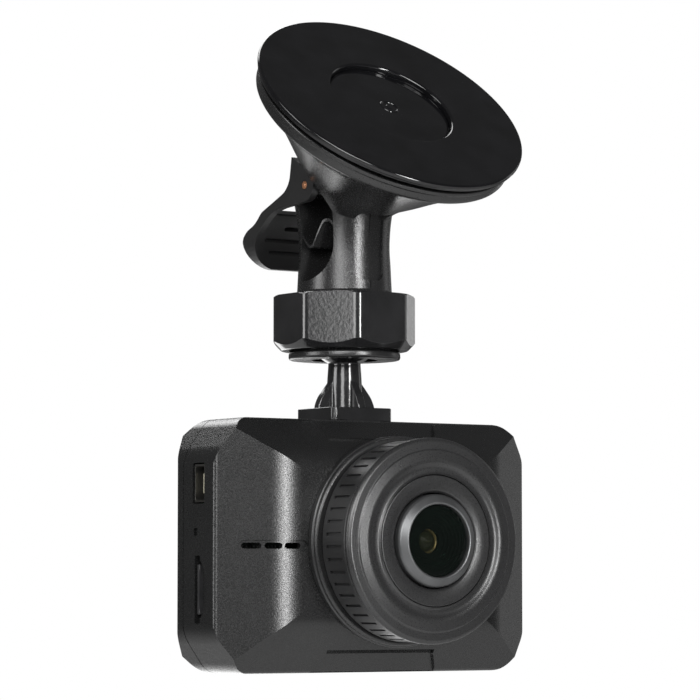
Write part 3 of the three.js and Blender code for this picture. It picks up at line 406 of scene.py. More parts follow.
def case_block(name, distance, rounding=0.0):
    nose = HALF - SIDE_BEVEL
    front = [
        (-HALF + CORNER_ACROSS, 0), (HALF - CORNER_ACROSS, 0), (HALF, CORNER_UP), (HALF, HEIGHT - CORNER_UP),
        (HALF - CORNER_ACROSS, HEIGHT), (-HALF + CORNER_ACROSS, HEIGHT), (-HALF, HEIGHT - CORNER_UP),
        (-HALF, CORNER_UP),
    ]
    above = [
        (-nose, NOSE), (nose, NOSE), (HALF, SIDE_FRONT), (HALF, REAR - REAR_BEVEL), (HALF - REAR_BEVEL, REAR),
        (-HALF + REAR_BEVEL, REAR), (-HALF, REAR - REAR_BEVEL), (-HALF, SIDE_FRONT),
    ]
    side = [
        (SIDE_FRONT, 0), (REAR - REAR_BEVEL, 0), (REAR, REAR_BEVEL), (REAR, HEIGHT - REAR_BEVEL),
        (REAR - REAR_BEVEL, HEIGHT), (SIDE_FRONT, HEIGHT), (NOSE, HEIGHT - TOP_BEVEL), (NOSE, BOTTOM_BEVEL),
    ]
    front, above, side = [inset(outline, distance) for outline in (front, above, side)]
    if rounding:
        # The creases that run up the nose are broad and soft; the corners of the outline are tighter.
        creases = {0: 4.4, 1: 4.4}
        above = curve([(*p, creases.get(i, 0.9)) for i, p in enumerate(above)], 20)
        side = curve([(*p, 2.6 if i in (6, 7) else 0.9) for i, p in enumerate(side)], 14)
        front = curve([(*p, rounding) for p in front], 14)
    beyond = HALF * 2
    whole = prism(name, front, "y", -beyond, beyond)
    return keep_inside(whole, prism("a", above, "z", -beyond, beyond), prism("b", side, "x", -beyond, beyond))


def half_space(low, high):
    return block("half", (-HALF * 2, low, -HEIGHT), (HALF * 2, high, HEIGHT * 2))


NOTCH_OUTER, NOTCH_INNER, NOTCH_RISE, NOTCH_DEPTH = 17.0, 14.5, 4.3, 0.9


def notch_cutters():
    """The trapezoid recesses in the top and bottom bevels, sunk square to each bevel."""
    cutters = []
    slope = (NOTCH_OUTER - NOTCH_INNER) / NOTCH_RISE
    past = 2.0
    for base, turn, bevel_height in ((HEIGHT, -1, TOP_BEVEL), (0, 1, BOTTOM_BEVEL)):
        inner = base + turn * NOTCH_RISE
        outer = base - turn * past
        wide = NOTCH_OUTER + slope * past
        outline = curve([
            (-wide, outer), (-NOTCH_INNER, inner, 0.8), (NOTCH_INNER, inner, 0.8), (wide, outer),
        ])
        cutter = prism("notch", outline, "y", NOSE - 4, SIDE_FRONT + NOTCH_DEPTH)
        lean = (SIDE_FRONT - NOSE) / bevel_height
        deep = NOTCH_DEPTH * math.hypot(1, lean)
        face = SIDE_FRONT + deep
        under = [
            (face + lean * past, base - turn * past),
            (face - lean * (NOTCH_RISE + past), inner + turn * past),
            (NOSE - 8, inner + turn * past), (NOSE - 8, base - turn * past),
        ]
        cutters.append(keep_inside(cutter, prism("slope", under, "x", -HALF, HALF)))
    # Each recess ends in a narrow, deeper step.
    for height in (NOTCH_RISE, HEIGHT - NOTCH_RISE - 0.65):
        low = (-NOTCH_INNER, NOSE, height - 0.1)
        high = (NOTCH_INNER, SIDE_FRONT - 2.0, height + 0.75)
        cutters.append(block("step", low, high))
    return cutters


GRILLE_Z, GRILLE_LEFT, GRILLE_RIGHT, GRILLE_HEIGHT = 28.1, -37.2, -22.1, 2.5
GRILLE_SLOTS = [(-36.4, -32.4), (-31.8, -28.1), (-27.6, -23.8)]


def grille_cutters():
    centre = (GRILLE_LEFT + GRILLE_RIGHT) / 2
    frame_outline = obround(GRILLE_RIGHT - GRILLE_LEFT, GRILLE_HEIGHT, centre, GRILLE_Z)
    recess = prism("recess", frame_outline, "y", NOSE - 1, 0)
    cut(recess, case_block("deep", 0.55, 1.6))
    slots = [
        prism("slot", obround(right - left, 1.35, (left + right) / 2, GRILLE_Z), "y", NOSE - 1, -10.5)
        for left, right in GRILLE_SLOTS
    ]
    return [recess, *slots]


usb_low, usb_high = in_neck("usb_socket")
card_low, card_high = in_neck("memory_card")
reset_low, reset_high = in_neck("reset_button")
SLOT_HEIGHT, SLOT_WIDTH = 15.0, 2.2
NAIL_RADIUS, NAIL_DEPTH = 9.5, 0.9


def port_cutters():
    outside, inside = -HALF - 1, -HALF + WALL + 0.6
    usb = prism("usb", rounded_box_outline(
        usb_high.y - usb_low.y + 0.6, usb_high.z - usb_low.z + 0.6,
        (usb_low.y + usb_high.y) / 2, (usb_low.z + usb_high.z) / 2, 0.5,
    ), "x", outside, inside)
    card_y = (card_low.y + card_high.y) / 2
    card_z = (card_low.z + card_high.z) / 2
    slot_outline = rounded_box_outline(SLOT_WIDTH, SLOT_HEIGHT, card_y, card_z, 0.35)
    slot = prism("slot", slot_outline, "x", outside, inside)
    reset_y, reset_z = (reset_low.y + reset_high.y) / 2, (reset_low.z + reset_high.z) / 2
    hole = prism("hole", arc(reset_y, reset_z, 0.95, 0, 352.5, 31), "x", outside, inside)
    nail_place = Matrix.Translation((-HALF + NAIL_DEPTH, card_y + 5.4, card_z))
    nail = turned("nail", [
        (0, 0), (NAIL_RADIUS - 1.2, 0), (NAIL_RADIUS, 1.2), (NAIL_RADIUS, 3), (0, 3),
    ], NECK @ nail_place @ Matrix.Rotation(-math.pi / 2, 4, "Y"))
    front_half = block("keep", (outside - 3, card_y - 8, card_z - 6.4), (inside, card_y, card_z + 6.4))
    return [usb, slot, hole, keep_inside(nail, front_half)]


RAIL_STEM, RAIL_FLANGE, RAIL_STEM_HEIGHT, RAIL_FLANGE_HEIGHT = 9.0, 13.0, 2.1, 1.8
RAIL_FRONT, RAIL_ROOM = -7.8, 0.3


def rail_block(name):
    low = HEIGHT - RAIL_STEM_HEIGHT - RAIL_FLANGE_HEIGHT - RAIL_ROOM - 2.2
    half = RAIL_FLANGE / 2 + RAIL_ROOM + 2.2
    return block(name, (-half, RAIL_FRONT - 2.5, low), (half, REAR - 0.02, HEIGHT - 0.02))


def rail_channel():
    front, rear = RAIL_FRONT - RAIL_ROOM, REAR + 1
    stem = RAIL_STEM / 2 + RAIL_ROOM
    flange = RAIL_FLANGE / 2 + RAIL_ROOM
    top = HEIGHT - RAIL_STEM_HEIGHT + RAIL_ROOM
    low = HEIGHT - RAIL_STEM_HEIGHT - RAIL_FLANGE_HEIGHT - RAIL_ROOM
    upper = block("stem", (-stem, front, top - 0.5), (stem, rear, HEIGHT + 1))
    return add(upper, block("flange", (-flange, front, low), (flange, rear, top)))


screws = [f"cover_screw_{n}" for n in (1, 2, 3, 4)]
keys = ["power_key", "menu_key", "up_key", "down_key"]
window_low, window_high = in_neck("display_window")


def make_case():
    shell = keep_inside(case_block("front_shell_skin", 0, 2.8), half_space(NOSE - 1, SEAM - PARTING))
    cut(shell, *notch_cutters(), *grille_cutters(), *port_cutters())
    bore_radius = 9.0
    bore = turned("bore", [(0, 10), (bore_radius, 10), (bore_radius, 25), (0, 25)], LENS)
    cut(shell, case_block("inside", WALL), bore)
    add(shell, keep_inside(rail_block("rail_front"), half_space(NOSE, SEAM - PARTING)))
    cut(shell, rail_channel())
    bevel(clean(shell), 0.18, 3, 40)
    stand_for(shell, "camera", "case_plastic", FINISH["case"], "front_shell", angle=1)

    cover = keep_inside(case_block("rear_cover_skin", 0, 2.8), half_space(SEAM + PARTING, REAR + 1))
    cut(cover, case_block("inside", WALL))
    add(cover, keep_inside(rail_block("rail_rear"), half_space(SEAM + PARTING, REAR + 1)))
    middle_x = (window_low.x + window_high.x) / 2
    middle_z = (window_low.z + window_high.z) / 2
    width, height = window_high.x - window_low.x, window_high.z - window_low.z
    window_outline = rounded_box_outline(width + 0.4, height + 0.4, middle_x, middle_z, 0.8)
    window = prism("window", window_outline, "y", REAR - 3, REAR + 1)
    holes = []
    for node in keys:
        low, high = in_neck(node)
        width, height = high.x - low.x + 0.6, high.z - low.z + 0.6
        outline = obround(width, height, (low.x + high.x) / 2, (low.z + high.z) / 2)
        holes.append(prism("key_hole", outline, "y", REAR - 3, REAR + 1))
    for node in screws:
        low, high = in_neck(node)
        centre_x, centre_z = (low.x + high.x) / 2, (low.z + high.z) / 2
        radius = (high.x - low.x) / 2 + 0.25
        rim = arc(centre_x, centre_z, radius, 0, 348.75, 31)
        holes.append(prism("sink", rim, "y", high.y - 1.3, REAR + 1))
    cut(cover, rail_channel(), window, *holes)
    bevel(clean(cover), 0.15, 2, 40)
    stand_for(cover, "camera", "case_plastic", FINISH["case"], "rear_cover", angle=1)


make_case()


# ---- Lens ------------------------------------------------------------------------------------------

def along_lens(node):
    """How far forward of the neck's axis a lens piece starts and ends, in millimetres."""
    low, high = in_neck(node)
    return -high.y, -low.y


BASE_RADIUS, KNURL_RADIUS, RING_RADIUS = 23.6, 22.4, 22.8
RING_BORE, TRIM_BORE, BEZEL_RADIUS, BEZEL_BORE = 14.6, 10.6, 10.3, 8.0
RIBS = 50
GROOVE_SHARE = 0.26  # of the pitch between two ribs
RIB_RELIEF = 0.55


def make_base_ring():
    start, end = along_lens("lens_base_ring")
    seat = -NOSE + 0.02
    ring = turned("lens_base", [
        (12.3, seat), (BASE_RADIUS, seat, 0.1), (BASE_RADIUS, start + 1.0, 0.45),
        (BASE_RADIUS - 0.35, start + 1.15, 0.1),
        (BASE_RADIUS - 0.35, end - 0.25, 0.3), (BASE_RADIUS - 0.9, end, 0.2), (12.3, end),
    ], LENS)
    stand_for(ring, "camera", "satin_plastic", FINISH["satin"], "lens_base_ring")


def rib_grooves(low, high):
    """One cutter made of the narrow grooves that part the ribs."""
    points = []
    faces = []
    inner, outer = KNURL_RADIUS - RIB_RELIEF, KNURL_RADIUS + 1
    half = math.pi / RIBS * GROOVE_SHARE
    for k in range(RIBS):
        middle_angle = 2 * math.pi * (k + 0.5) / RIBS
        first = len(points)
        for height in (low, high):
            for radius, turn in ((inner, -half), (outer, -half), (outer, half), (inner, half)):
                angle = middle_angle + turn
                points.append((radius * math.cos(angle), radius * math.sin(angle), height))
        lower = [first + i for i in range(4)]
        upper = [first + 4 + i for i in range(4)]
        faces += [tuple(lower), tuple(reversed(upper))]
        faces += [(lower[i], lower[(i + 1) % 4], upper[(i + 1) % 4], upper[i]) for i in range(4)]
    return build("rib_grooves", points, faces, LENS)


def make_barrel():
    start, end = along_lens("lens_barrel")
    knurl = start + 1.0
    groove = 22.0
    barrel = turned("lens_grip", [
        (12.3, start), (groove - 0.3, start), (groove - 0.3, knurl, 0.2), (KNURL_RADIUS, knurl, 0.3),
        (KNURL_RADIUS, end - 0.1, 0.3), (KNURL_RADIUS - 1.0, end + 0.1), (12.3, end + 0.1),
    ], LENS, 180)
    cut(barrel, rib_grooves(knurl + 1.5, knurl + 7.4))
    stand_for(clean(barrel), "camera", "satin_plastic", FINISH["ribs"], "lens_barrel", angle=24)


def make_front_rings():
    start, end = along_lens("lens_front_ring")
    ring = turned("lens_face_ring", [
        (RING_BORE, start - 0.15), (RING_RADIUS - 0.5, start - 0.15), (RING_RADIUS, start + 0.2, 0.3),
        (RING_RADIUS, end - 1.3, 0.5), (RING_RADIUS - 0.75, end - 0.75, 0.3), (20.25, end - 0.62, 0.15),
        (20.0, end - 0.36, 0.15), (17.9, end, 0.5), (17.2, end - 0.12, 0.3), (16.2, end - 0.62, 1.2),
        (15.0, end - 0.5, 0.4), (RING_BORE + 0.05, end - 0.1, 0.2), (RING_BORE, end - 1.0),
    ], LENS)
    stand_for(ring, "camera", "satin_plastic", FINISH["satin"], "lens_front_ring")

    start, end = along_lens("lens_trim_ring")
    trim = turned("lens_trim_disc", [
        (TRIM_BORE, start), (RING_BORE - 0.12, start), (RING_BORE - 0.12, end, 0.25), (12.6, end - 0.02, 0.6),
        (TRIM_BORE + 0.5, end - 0.3, 0.3), (TRIM_BORE, end - 0.8, 0.2),
    ], LENS)
    stand_for(trim, "camera", "satin_plastic", FINISH["satin"], "lens_trim_ring")

    start, end = along_lens("lens_bezel")
    bezel = turned("lens_bezel_ring", [
        (BEZEL_BORE, start), (BEZEL_RADIUS, start), (BEZEL_RADIUS, end - 1.45, 0.25),
        (BEZEL_RADIUS - 0.35, end - 0.95, 0.2),
        (BEZEL_BORE + 0.45, end - 0.05, 0.25), (BEZEL_BORE + 0.1, end - 0.15, 0.12),
        (BEZEL_BORE, end - 0.6, 0.1),
    ], LENS)
    stand_for(bezel, "camera", "bezel_metal", FINISH["bezel"], "lens_bezel")


def make_glass():
    start, end = along_lens("front_glass")
    edge = BEZEL_BORE - 0.08
    glass = turned("front_glass_pane", [
        (0, start), (edge, start), (edge, end - 0.5, 0.2), (edge * 0.75, end - 0.24, 3),
        (edge * 0.4, end - 0.06, 2), (0, end),
    ], LENS)
    stand_for(glass, "camera", "lens_glass", FINISH["glass"], "front_glass", angle=50)
    start, end = along_lens("lens_cone")
    steps = []
    stages = 6
    for k in range(stages):
        radius = 2.7 + (edge - 0.6 - 2.7) * (k / stages) ** 0.8
        height = start + 0.6 + (end - start - 0.6) * k / stages
        wider = 2.7 + (edge - 0.6 - 2.7) * ((k + 1) / stages) ** 0.8
        steps += [(radius, height, 0.05), (wider, height + 0.05, 0.05)]
    cone = turned("lens_baffle", [
        (2.7, start), (edge, start), (edge, end), (edge - 0.6, end), *reversed(steps),
    ], LENS)
    stand_for(cone, "camera", "satin_plastic", FINISH["baffle"], "lens_cone")
    start, end = along_lens("front_lens")
    lens = turned("front_element", [
        (0, start), (4.8, start), (4.8, end - 0.7, 0.2), (2.3, end - 0.65, 0.1), (2.2, end + 0.3, 0.8),
        (1.2, end + 1.2, 0.7),
        (0, end + 1.4),
    ], LENS, SMALL_ROUND)
    stand_for(lens, "camera", "lens_glass", FINISH["lens"], "front_lens", angle=60)
    retainer = turned("element_retainer", [
        (2.35, start + 1.5), (2.95, end + 0.15, 0.1), (2.65, end + 0.4, 0.1), (2.35, end + 0.1, 0.1),
    ], LENS, SMALL_ROUND)
    stand_for(retainer, "camera", "satin_plastic", FINISH["gold"], "front_lens")


# ---- Suction cup -----------------------------------------------------------------------------------

PAD_RADIUS, PAD_THICKNESS, RECESS_RADIUS, RECESS_DEPTH = 32.05, 2.4, 14.7, 1.4
RIM_RADIUS, RIM_FRONT, RIM_REAR, CUP_WALL = 31.0, 2.8, 6.0, 1.9
CUP_REACH, CAVITY_DEPTH = 29.0, 19.2


def make_pad():
    pad = turned("suction_pad_ring", [
        (RECESS_RADIUS - 0.1, -PAD_THICKNESS), (PAD_RADIUS - 1.4, -PAD_THICKNESS, 0.2),
        (PAD_RADIUS - 1.1, -PAD_THICKNESS + 0.55, 0.2), (PAD_RADIUS - 0.25, -PAD_THICKNESS + 0.75, 0.25),
        (PAD_RADIUS - 0.2, -1.15, 0.1), (PAD_RADIUS, -1.0, 0.1), (PAD_RADIUS, -0.28, 0.25),
        (PAD_RADIUS - 0.35, 0, 0.2),
        (RECESS_RADIUS + 0.35, 0, 0.25), (RECESS_RADIUS, -0.35, 0.2),
        (RECESS_RADIUS - 0.1, -RECESS_DEPTH - 0.2),
    ], CUP, 160)
    stand_for(pad, "mount", "suction_gel", FINISH["pad"], "suction_pad")
    floor = -RECESS_DEPTH
    centre = turned("pad_centre_disc", [
        (0, floor - 1.8), (RECESS_RADIUS - 0.18, floor - 1.8), (RECESS_RADIUS - 0.18, floor - 0.1, 0.15),
        (RECESS_RADIUS - 0.7, floor, 0.15), (2.3, floor, 0.1), (2.2, floor + 0.16, 0.1),
        (1.9, floor + 0.16, 0.1),
        (1.75, floor - 0.05, 0.1), (0.9, floor - 0.05, 0.1), (0.7, floor + 0.1, 0.1), (0, floor + 0.12),
    ], CUP, 128)
    stand_for(centre, "rod", "suction_gel", FINISH["pad"], "pad_centre")


BELL = [(26, 8.7), (21.4, 13.2), (17, 18), (13, 22), (10.8, 25.5)]
COLLAR, NECK_RADIUS, WAIST = 11.2, 10.8, 10.4
BALL_Z, SOCKET_RADIUS = 77.7, 10.2
POCKET_FRONT, POCKET_REAR, POCKET_LOW, POCKET_TOP, WEB = -7.0, 2.0, 88.5, 107.7, 1.6


def make_housing():
    neck = turned("cup_and_neck", [
        (0, 70.8), (12.5, 70.8, 0.3), (12.8, 71.2, 0.3), (12.75, 72.3, 0.3), (12.1, 72.8, 0.1),
        (12.1, 83.2, 0.2),
        (COLLAR, 83.2), (COLLAR, 86.0, 0.3), (NECK_RADIUS + 0.05, 86.4, 0.2), (10.62, 91, 5),
        (WAIST, 96.5, 5),
        (10.65, 101, 5), (11.1, 104.5, 3), (11.7, 107.6, 2), (8.4, 113.5, 3), (0, 117.1),
    ], NECK)
    bell = turned("bell", [
        (0, -RIM_FRONT), (RIM_RADIUS, -RIM_FRONT, 0.3), (RIM_RADIUS, -3.7, 0.2),
        (RIM_RADIUS - 0.35, -3.9, 0.2),
        (RIM_RADIUS - 0.3, -RIM_REAR, 0.9), (28.6, -6.9, 1.0),
        *[(r, -d, 3.5) for r, d in BELL], (NECK_RADIUS, -CUP_REACH), (0, -CUP_REACH),
    ], CUP, 160)
    hollow = turned("hollow", [
        (0, -RIM_FRONT + 1), (RIM_RADIUS - CUP_WALL, -RIM_FRONT + 1),
        (RIM_RADIUS - CUP_WALL, -RIM_REAR + 0.8, 1),
        (BELL[0][0] - CUP_WALL, -BELL[0][1] + 0.3, 2), (BELL[2][0] - CUP_WALL, -BELL[2][1] + 0.8, 2),
        (7.8, -CAVITY_DEPTH), (0, -CAVITY_DEPTH),
    ], CUP, 96)
    add(neck, bell)
    socket = turned("socket", [(0, BALL_Z - SOCKET_RADIUS), *[
        (SOCKET_RADIUS * math.sin(math.radians(a)), BALL_Z - SOCKET_RADIUS * math.cos(math.radians(a)))
        for a in range(6, 180, 6)
    ], (0, BALL_Z + SOCKET_RADIUS)], NECK, SMALL_ROUND)
    cut(neck, hollow, socket)
    rod_bore = turned("rod_bore", [(0, -18), (2.9, -18), (2.9, -28.5), (0, -28.5)], CUP, 32)
    pin_bore = prism("pin_bore", arc(0, 0, 1.1, 0, 345, 23), "x", -11.5, 11.5, PIN)
    cut(neck, rod_bore, pin_bore, *pockets(), *cheek_slots(), *collet_slits(), front_panel())
    add(neck, *zigzag_ribs())
    # A hairline parting line runs up the front and the back of the neck.
    for seam_low, seam_high in ((-14, -9.9), (10.2, 14)):
        cut(neck, block("line", (-0.1, seam_low, 86.6), (0.1, seam_high, 105)))
    stand_for(clean(neck), "mount", "gloss_plastic", FINISH["neck"], "cup_housing", angle=28)


def pockets():
    cutters = []
    for low, high in ((-14, -WEB), (WEB, 14)):
        outline = curve([
            (POCKET_REAR, POCKET_LOW + 0.1, 0.5), (POCKET_REAR, POCKET_TOP, 0.5),
            (POCKET_FRONT - 0.6, POCKET_TOP, 0.5),
            (POCKET_FRONT - 0.2, 101, 3), (POCKET_FRONT, 94.2, 3), (POCKET_FRONT + 1.6, 90.4, 2.5),
            (POCKET_FRONT + 5.1, POCKET_LOW, 1.5),
        ])
        cutters.append(prism("pocket", outline, "x", low, high))
    return cutters


ZIGZAG = [(2.8, 99.6), (-0.9, 96.3), (-2.1, 96.3), (-4.9, 102.0), (-6.2, 102.2), (-7.6, 100.0)]
ZIGZAG_HALF = 0.26


def zigzag_ribs():
    """A thin rib crosses each pocket in a zigzag, flush with the neck's skin."""
    ribs = []
    upper = [(y, z + ZIGZAG_HALF * 1.3) for y, z in ZIGZAG]
    lower = [(y, z - ZIGZAG_HALF * 1.3) for y, z in reversed(ZIGZAG)]
    outline = curve([(*p, 0.5) for p in upper + lower], 4)
    for low, high in ((-12, -WEB + 0.2), (WEB - 0.2, 12)):
        rib = prism("rib", outline, "x", low, high)
        room = turned("rib_room", [(0, 90), (WAIST - 0.1, 90), (WAIST - 0.1, 110), (0, 110)], NECK)
        ribs.append(keep_inside(rib, room))
    return ribs


def front_panel():
    outline = curve([(-4.0, 88.5, 2.4), (4.0, 88.5, 2.4), (4.0, 112), (-4.0, 112)])
    panel = prism("panel", outline, "y", -14, 0)
    return keep_inside(panel, turned("panel_skin", [
        (NECK_RADIUS - 0.75, 87), (16, 87), (16, 113), (NECK_RADIUS + 2.0, 113),
        (NECK_RADIUS + 0.5, 106.8, 2),
        (NECK_RADIUS - 0.5, 102, 3), (WAIST - 0.6, 96, 4),
    ], NECK))


def collet_slits():
    half, reach, top = 0.6, 13.8, 82.2
    turn = 1 / math.sqrt(2)
    corners = [(-reach, -half), (reach, -half), (reach, half), (-reach, half)]
    return [prism("slit", [((u + v) * turn, (v - u) * turn) for u, v in corners], "z", 70, top)]


CHEEK_INNER, CHEEK = 11.4, 1.6
HEAD, HEEL, ARM, ROOM = 3.7, 9.3, 11.5, 0.3


def cheek_slots():
    slots = []
    near, far = CHEEK_INNER - ROOM, CHEEK_INNER + CHEEK + ROOM
    for low, high in ((-far, -near), (near, far)):
        slots.append(prism("slot", [(0, 0), *arc(0, 0, ARM, -40, 80, 20)], "x", low, high, PIN))
        slots.append(prism("slot", [(0, 0), *arc(0, 0, HEEL, 40, 158, 20)], "x", low, high, PIN))
        slots.append(prism("slot", arc(0, 0, HEAD + 2 * ROOM, 0, 348.75, 31), "x", low, high, PIN))
    return slots


# ---- Lever, nut and bracket ------------------------------------------------------------------------

TAIL = [
    (18.4, -8.0, 2.5), (21.3, -11.4, 2.5), (22.9, -15.2, 2.5), (23.3, -17.2, 0.4), (25.0, -17.2, 0.4),
    (26.4, -13.0, 2),
    (26.6, -10.4, 1.5), (24.6, -8.5, 1.5), (21.6, -7.4, 1.5),
]  # the section of the paddle, with the pin at (0, 0)


def cheek_outline():
    return curve([
        (5.4, 7.0, 0.3), *[(*p, 0) for p in arc(0, 0, HEAD, 150, 268, 12)], (10.3, -4.35, 1.5),
        (14.2, -5.2, 2),
        *TAIL, (19.9, -6.2, 1.5), (18.4, -4.7, 1.5), (12.8, -2.6, 2), (8.2, -0.8, 1.5), (6.3, 1.4, 1.5),
    ], 5)


def paddle_outline():
    return curve([
        (17.0, -3.9, 0.4), (15.2, -5.2, 0.4), *TAIL, (19.9, -6.2, 1.5), (18.4, -4.7, 1.5),
    ], 5)


PADDLE_GROOVES = [(13, -8.1), (21, -10.7), (17, -13.4)]


def make_lever():
    outer = CHEEK_INNER + CHEEK
    lever = prism("lock_lever", paddle_outline(), "x", -outer + 0.4, outer - 0.4, PIN)
    for low, high in ((-outer, -CHEEK_INNER), (CHEEK_INNER, outer)):
        add(lever, prism("cheek", cheek_outline(), "x", low, high, PIN))
    # The paddle's lower corners are rounded when seen from behind.
    corner = rounded_box_outline(2 * outer, 40, 0, 2.7, 7.5, 10)
    keep_inside(lever, prism("corners", corner, "y", -10, 40, PIN))
    cut(lever, prism("pin_hole", arc(0, 0, 1.05, 0, 345, 23), "x", -outer - 1, outer + 1, PIN))
    for length, height in PADDLE_GROOVES:
        reach = 17.6 + (-8.1 - height) * 0.62
        outline = obround(length, 0.9, 0, height, 6)
        cut(lever, prism("groove", outline, "y", reach, reach + 1.9, PIN))
    bevel(clean(lever), 0.22, 3, 35)
    stand_for(lever, "lever_arm", "lever_plastic", FINISH["lever"], "lever", angle=40)
    spot = PIN @ Matrix.Rotation(math.pi / 2, 4, "Y")
    end = outer + 0.15
    pin = turned("lever_pin_pressed", [
        (0, -end), (0.3, -end, 0.1), (0.35, -end + 0.1, 0.1), (0.85, -end + 0.05, 0.25),
        (0.9, -end + 0.3, 0.1),
        (0.9, end - 0.3, 0.1), (0.85, end - 0.05, 0.25), (0.35, end - 0.1, 0.1), (0.3, end, 0.1), (0, end),
    ], spot, SMALL_ROUND)
    stand_for(pin, "lever_arm", "copper_pin", FINISH["copper"], "lever_pin")


def make_nut():
    radius, low, high, chamfer = 16.7, 72.9, 85.5, 2.3
    corners = [
        (radius * math.cos(math.radians(22.5 + 45 * k)), radius * math.sin(math.radians(22.5 + 45 * k)), 1.3)
        for k in range(8)
    ]
    nut = prism("clamp_nut_body", curve(corners, 6), "z", low, high)
    cone = turned("cone", [
        (0, low - 0.2), (13.8, low - 0.2), (14.5, low, 0.4), (radius + 0.2, low + chamfer + 0.2),
        (radius + 0.2, high - 0.75),
        (radius - 0.9, high + 0.02), (0, high + 0.02),
    ], NECK)
    bore = turned("bore", [
        (0, low - 1), (12.7, low - 1), (12.7, 83.5), (COLLAR + 0.3, 83.5), (COLLAR + 0.3, high + 1),
        (0, high + 1),
    ], NECK)
    keep_inside(nut, cone)
    cut(nut, bore)
    bevel(clean(nut), 0.28, 3, 28)
    stand_for(nut, "nut", "gloss_plastic", FINISH["gloss"], "clamp_nut", angle=35)


def make_bracket():
    ball = turned("ball_stud_bracket", [(0, BALL_Z - 8.5), *[
        (8.5 * math.sin(math.radians(a)), BALL_Z - 8.5 * math.cos(math.radians(a))) for a in range(4, 180, 4)
    ], (0, BALL_Z + 8.5)], NECK, 96)
    low, top = HEIGHT + 0.15, 59.7
    post = turned("post", [
        (0, low + 0.5), (4.0, low + 0.5), (4.0, 65.2, 1.5), (3.75, 69, 1.5), (3.65, 70.2, 0.6),
        (4.9, 71.2, 0.6),
        (0, 72.6),
    ], NECK, 96)
    width, depth, corner = 16.4, 15.6, 0.85
    half_w, half_d = width / 2, depth / 2
    plate_outline = [
        (-half_w + corner, -half_d), (half_w - corner, -half_d), (half_w, -half_d + corner),
        (half_w, half_d - corner),
        (half_w - corner, half_d), (-half_w + corner, half_d), (-half_w, half_d - corner),
        (-half_w, -half_d + corner),
    ]
    plate = bevel(prism("plate", plate_outline, "z", low, top), 0.25, 3)
    fins = []
    for axis, reach in (("y", half_w - 0.5), ("x", half_d - 0.5)):
        outline = curve([
            (-reach, top - 0.2), (reach, top - 0.2), (reach - 0.1, top + 0.7, 0.6), (reach - 0.9, 62.3, 2),
            (3.6, 66.2, 2),
            (3.3, 68.6), (-3.3, 68.6), (-3.6, 66.2, 2), (-reach + 0.9, 62.3, 2),
            (-reach + 0.1, top + 0.7, 0.6),
        ])
        fins.append(bevel(prism("fin", outline, axis, -1.0, 1.0), 0.25, 3, 50))
    flange_top = HEIGHT - RAIL_STEM_HEIGHT
    stem = block("stem", (-RAIL_STEM / 2, -half_d, flange_top - 0.2), (RAIL_STEM / 2, half_d, low + 0.2))
    flange_low = flange_top - RAIL_FLANGE_HEIGHT
    flange = block("flange", (-RAIL_FLANGE / 2, -half_d, flange_low), (RAIL_FLANGE / 2, half_d, flange_top))
    add(ball, post, *fins, plate, stem, flange)
    stand_for(clean(ball), "bracket", "gloss_plastic", FINISH["gloss"], "ball_bracket", angle=32)


make_base_ring()
make_barrel()
make_front_rings()
make_glass()
make_pad()
make_housing()
make_lever()
make_nut()
make_bracket()


# ---- Ports, screen and keys ------------------------------------------------------------------------

def centre_of(low, high):
    return (low.x + high.x) / 2, (low.y + high.y) / 2, (low.z + high.z) / 2


def make_usb():
    low, high = usb_low, usb_high
    _, middle_y, middle_z = centre_of(low, high)
    width, height = high.y - low.y, high.z - low.z
    can = prism("usb_can", rounded_box_outline(width, height, middle_y, middle_z, 0.5), "x", low.x, high.x)
    mouth = rounded_box_outline(width - 0.8, height - 0.8, middle_y, middle_z, 0.3)
    cut(can, prism("mouth", mouth, "x", low.x - 1, high.x - 0.4))
    bevel(can, 0.08, 2, 40)
    # The socket can takes the darkened port metal, painted shade for the inside of the opening.
    stand_for(can, "camera", "steel", FINISH["port"], "usb_socket")

    low, high = in_neck("usb_tongue")
    tongue = block("usb_tongue_bar", low, high)
    bevel(tongue, 0.12, 2, 40)
    contacts = 5
    for k in range(contacts):
        at = low.z + (high.z - low.z) * (k + 0.5) / contacts
        near_corner = (low.x + 0.1, low.y - 0.08, at - 0.22)
        add(tongue, block("contact", near_corner, (high.x - 1, low.y + 0.1, at + 0.22)))
    stand_for(tongue, "camera", "pale_plastic", FINISH["pale"], "usb_tongue")


def make_reset():
    low, high = reset_low, reset_high
    _, middle_y, middle_z = centre_of(low, high)
    radius = (high.z - low.z) / 2
    spot = NECK @ Matrix.Translation((low.x, middle_y, middle_z)) @ Matrix.Rotation(math.pi / 2, 4, "Y")
    length = high.x - low.x
    button = turned("reset_pin", [
        (0, 0.12), (radius * 0.55, 0.08, 0.1), (radius, 0.3, 0.15), (radius, length), (0, length),
    ], spot, SMALL_ROUND)
    stand_for(button, "reset", "satin_plastic", FINISH["satin"], "reset_button")


def make_card():
    low, high = card_low, card_high
    card = block("memory_card_body", low, high)
    bevel(card, 0.14, 3, 40)
    ridge = block("ridge", (low.x, low.y, low.z + 1.2), (low.x + 0.7, low.y + 0.12, high.z - 1.2))
    cut(card, ridge)
    stand_for(card, "card", "chip_black", FINISH["chip"], "memory_card")


def make_mesh():
    low, high = in_neck("speaker_mesh")
    mesh = block("mesh_sheet", low, high)
    pitch, hole = 0.95, 0.3
    holes = []
    rows = int((high.z - low.z) / pitch)
    columns = int((high.x - low.x) / pitch)
    for row in range(rows):
        for column in range(columns):
            at_x = low.x + pitch * (column + 0.75)
            at_z = low.z + pitch * (row + 0.6)
            holes.append(prism("hole", arc(at_x, at_z, hole, 0, 315, 7), "y", low.y - 1, high.y + 1))
    cut(mesh, *holes)
    stand_for(mesh, "camera", "steel", FINISH["baffle"], "speaker_mesh")


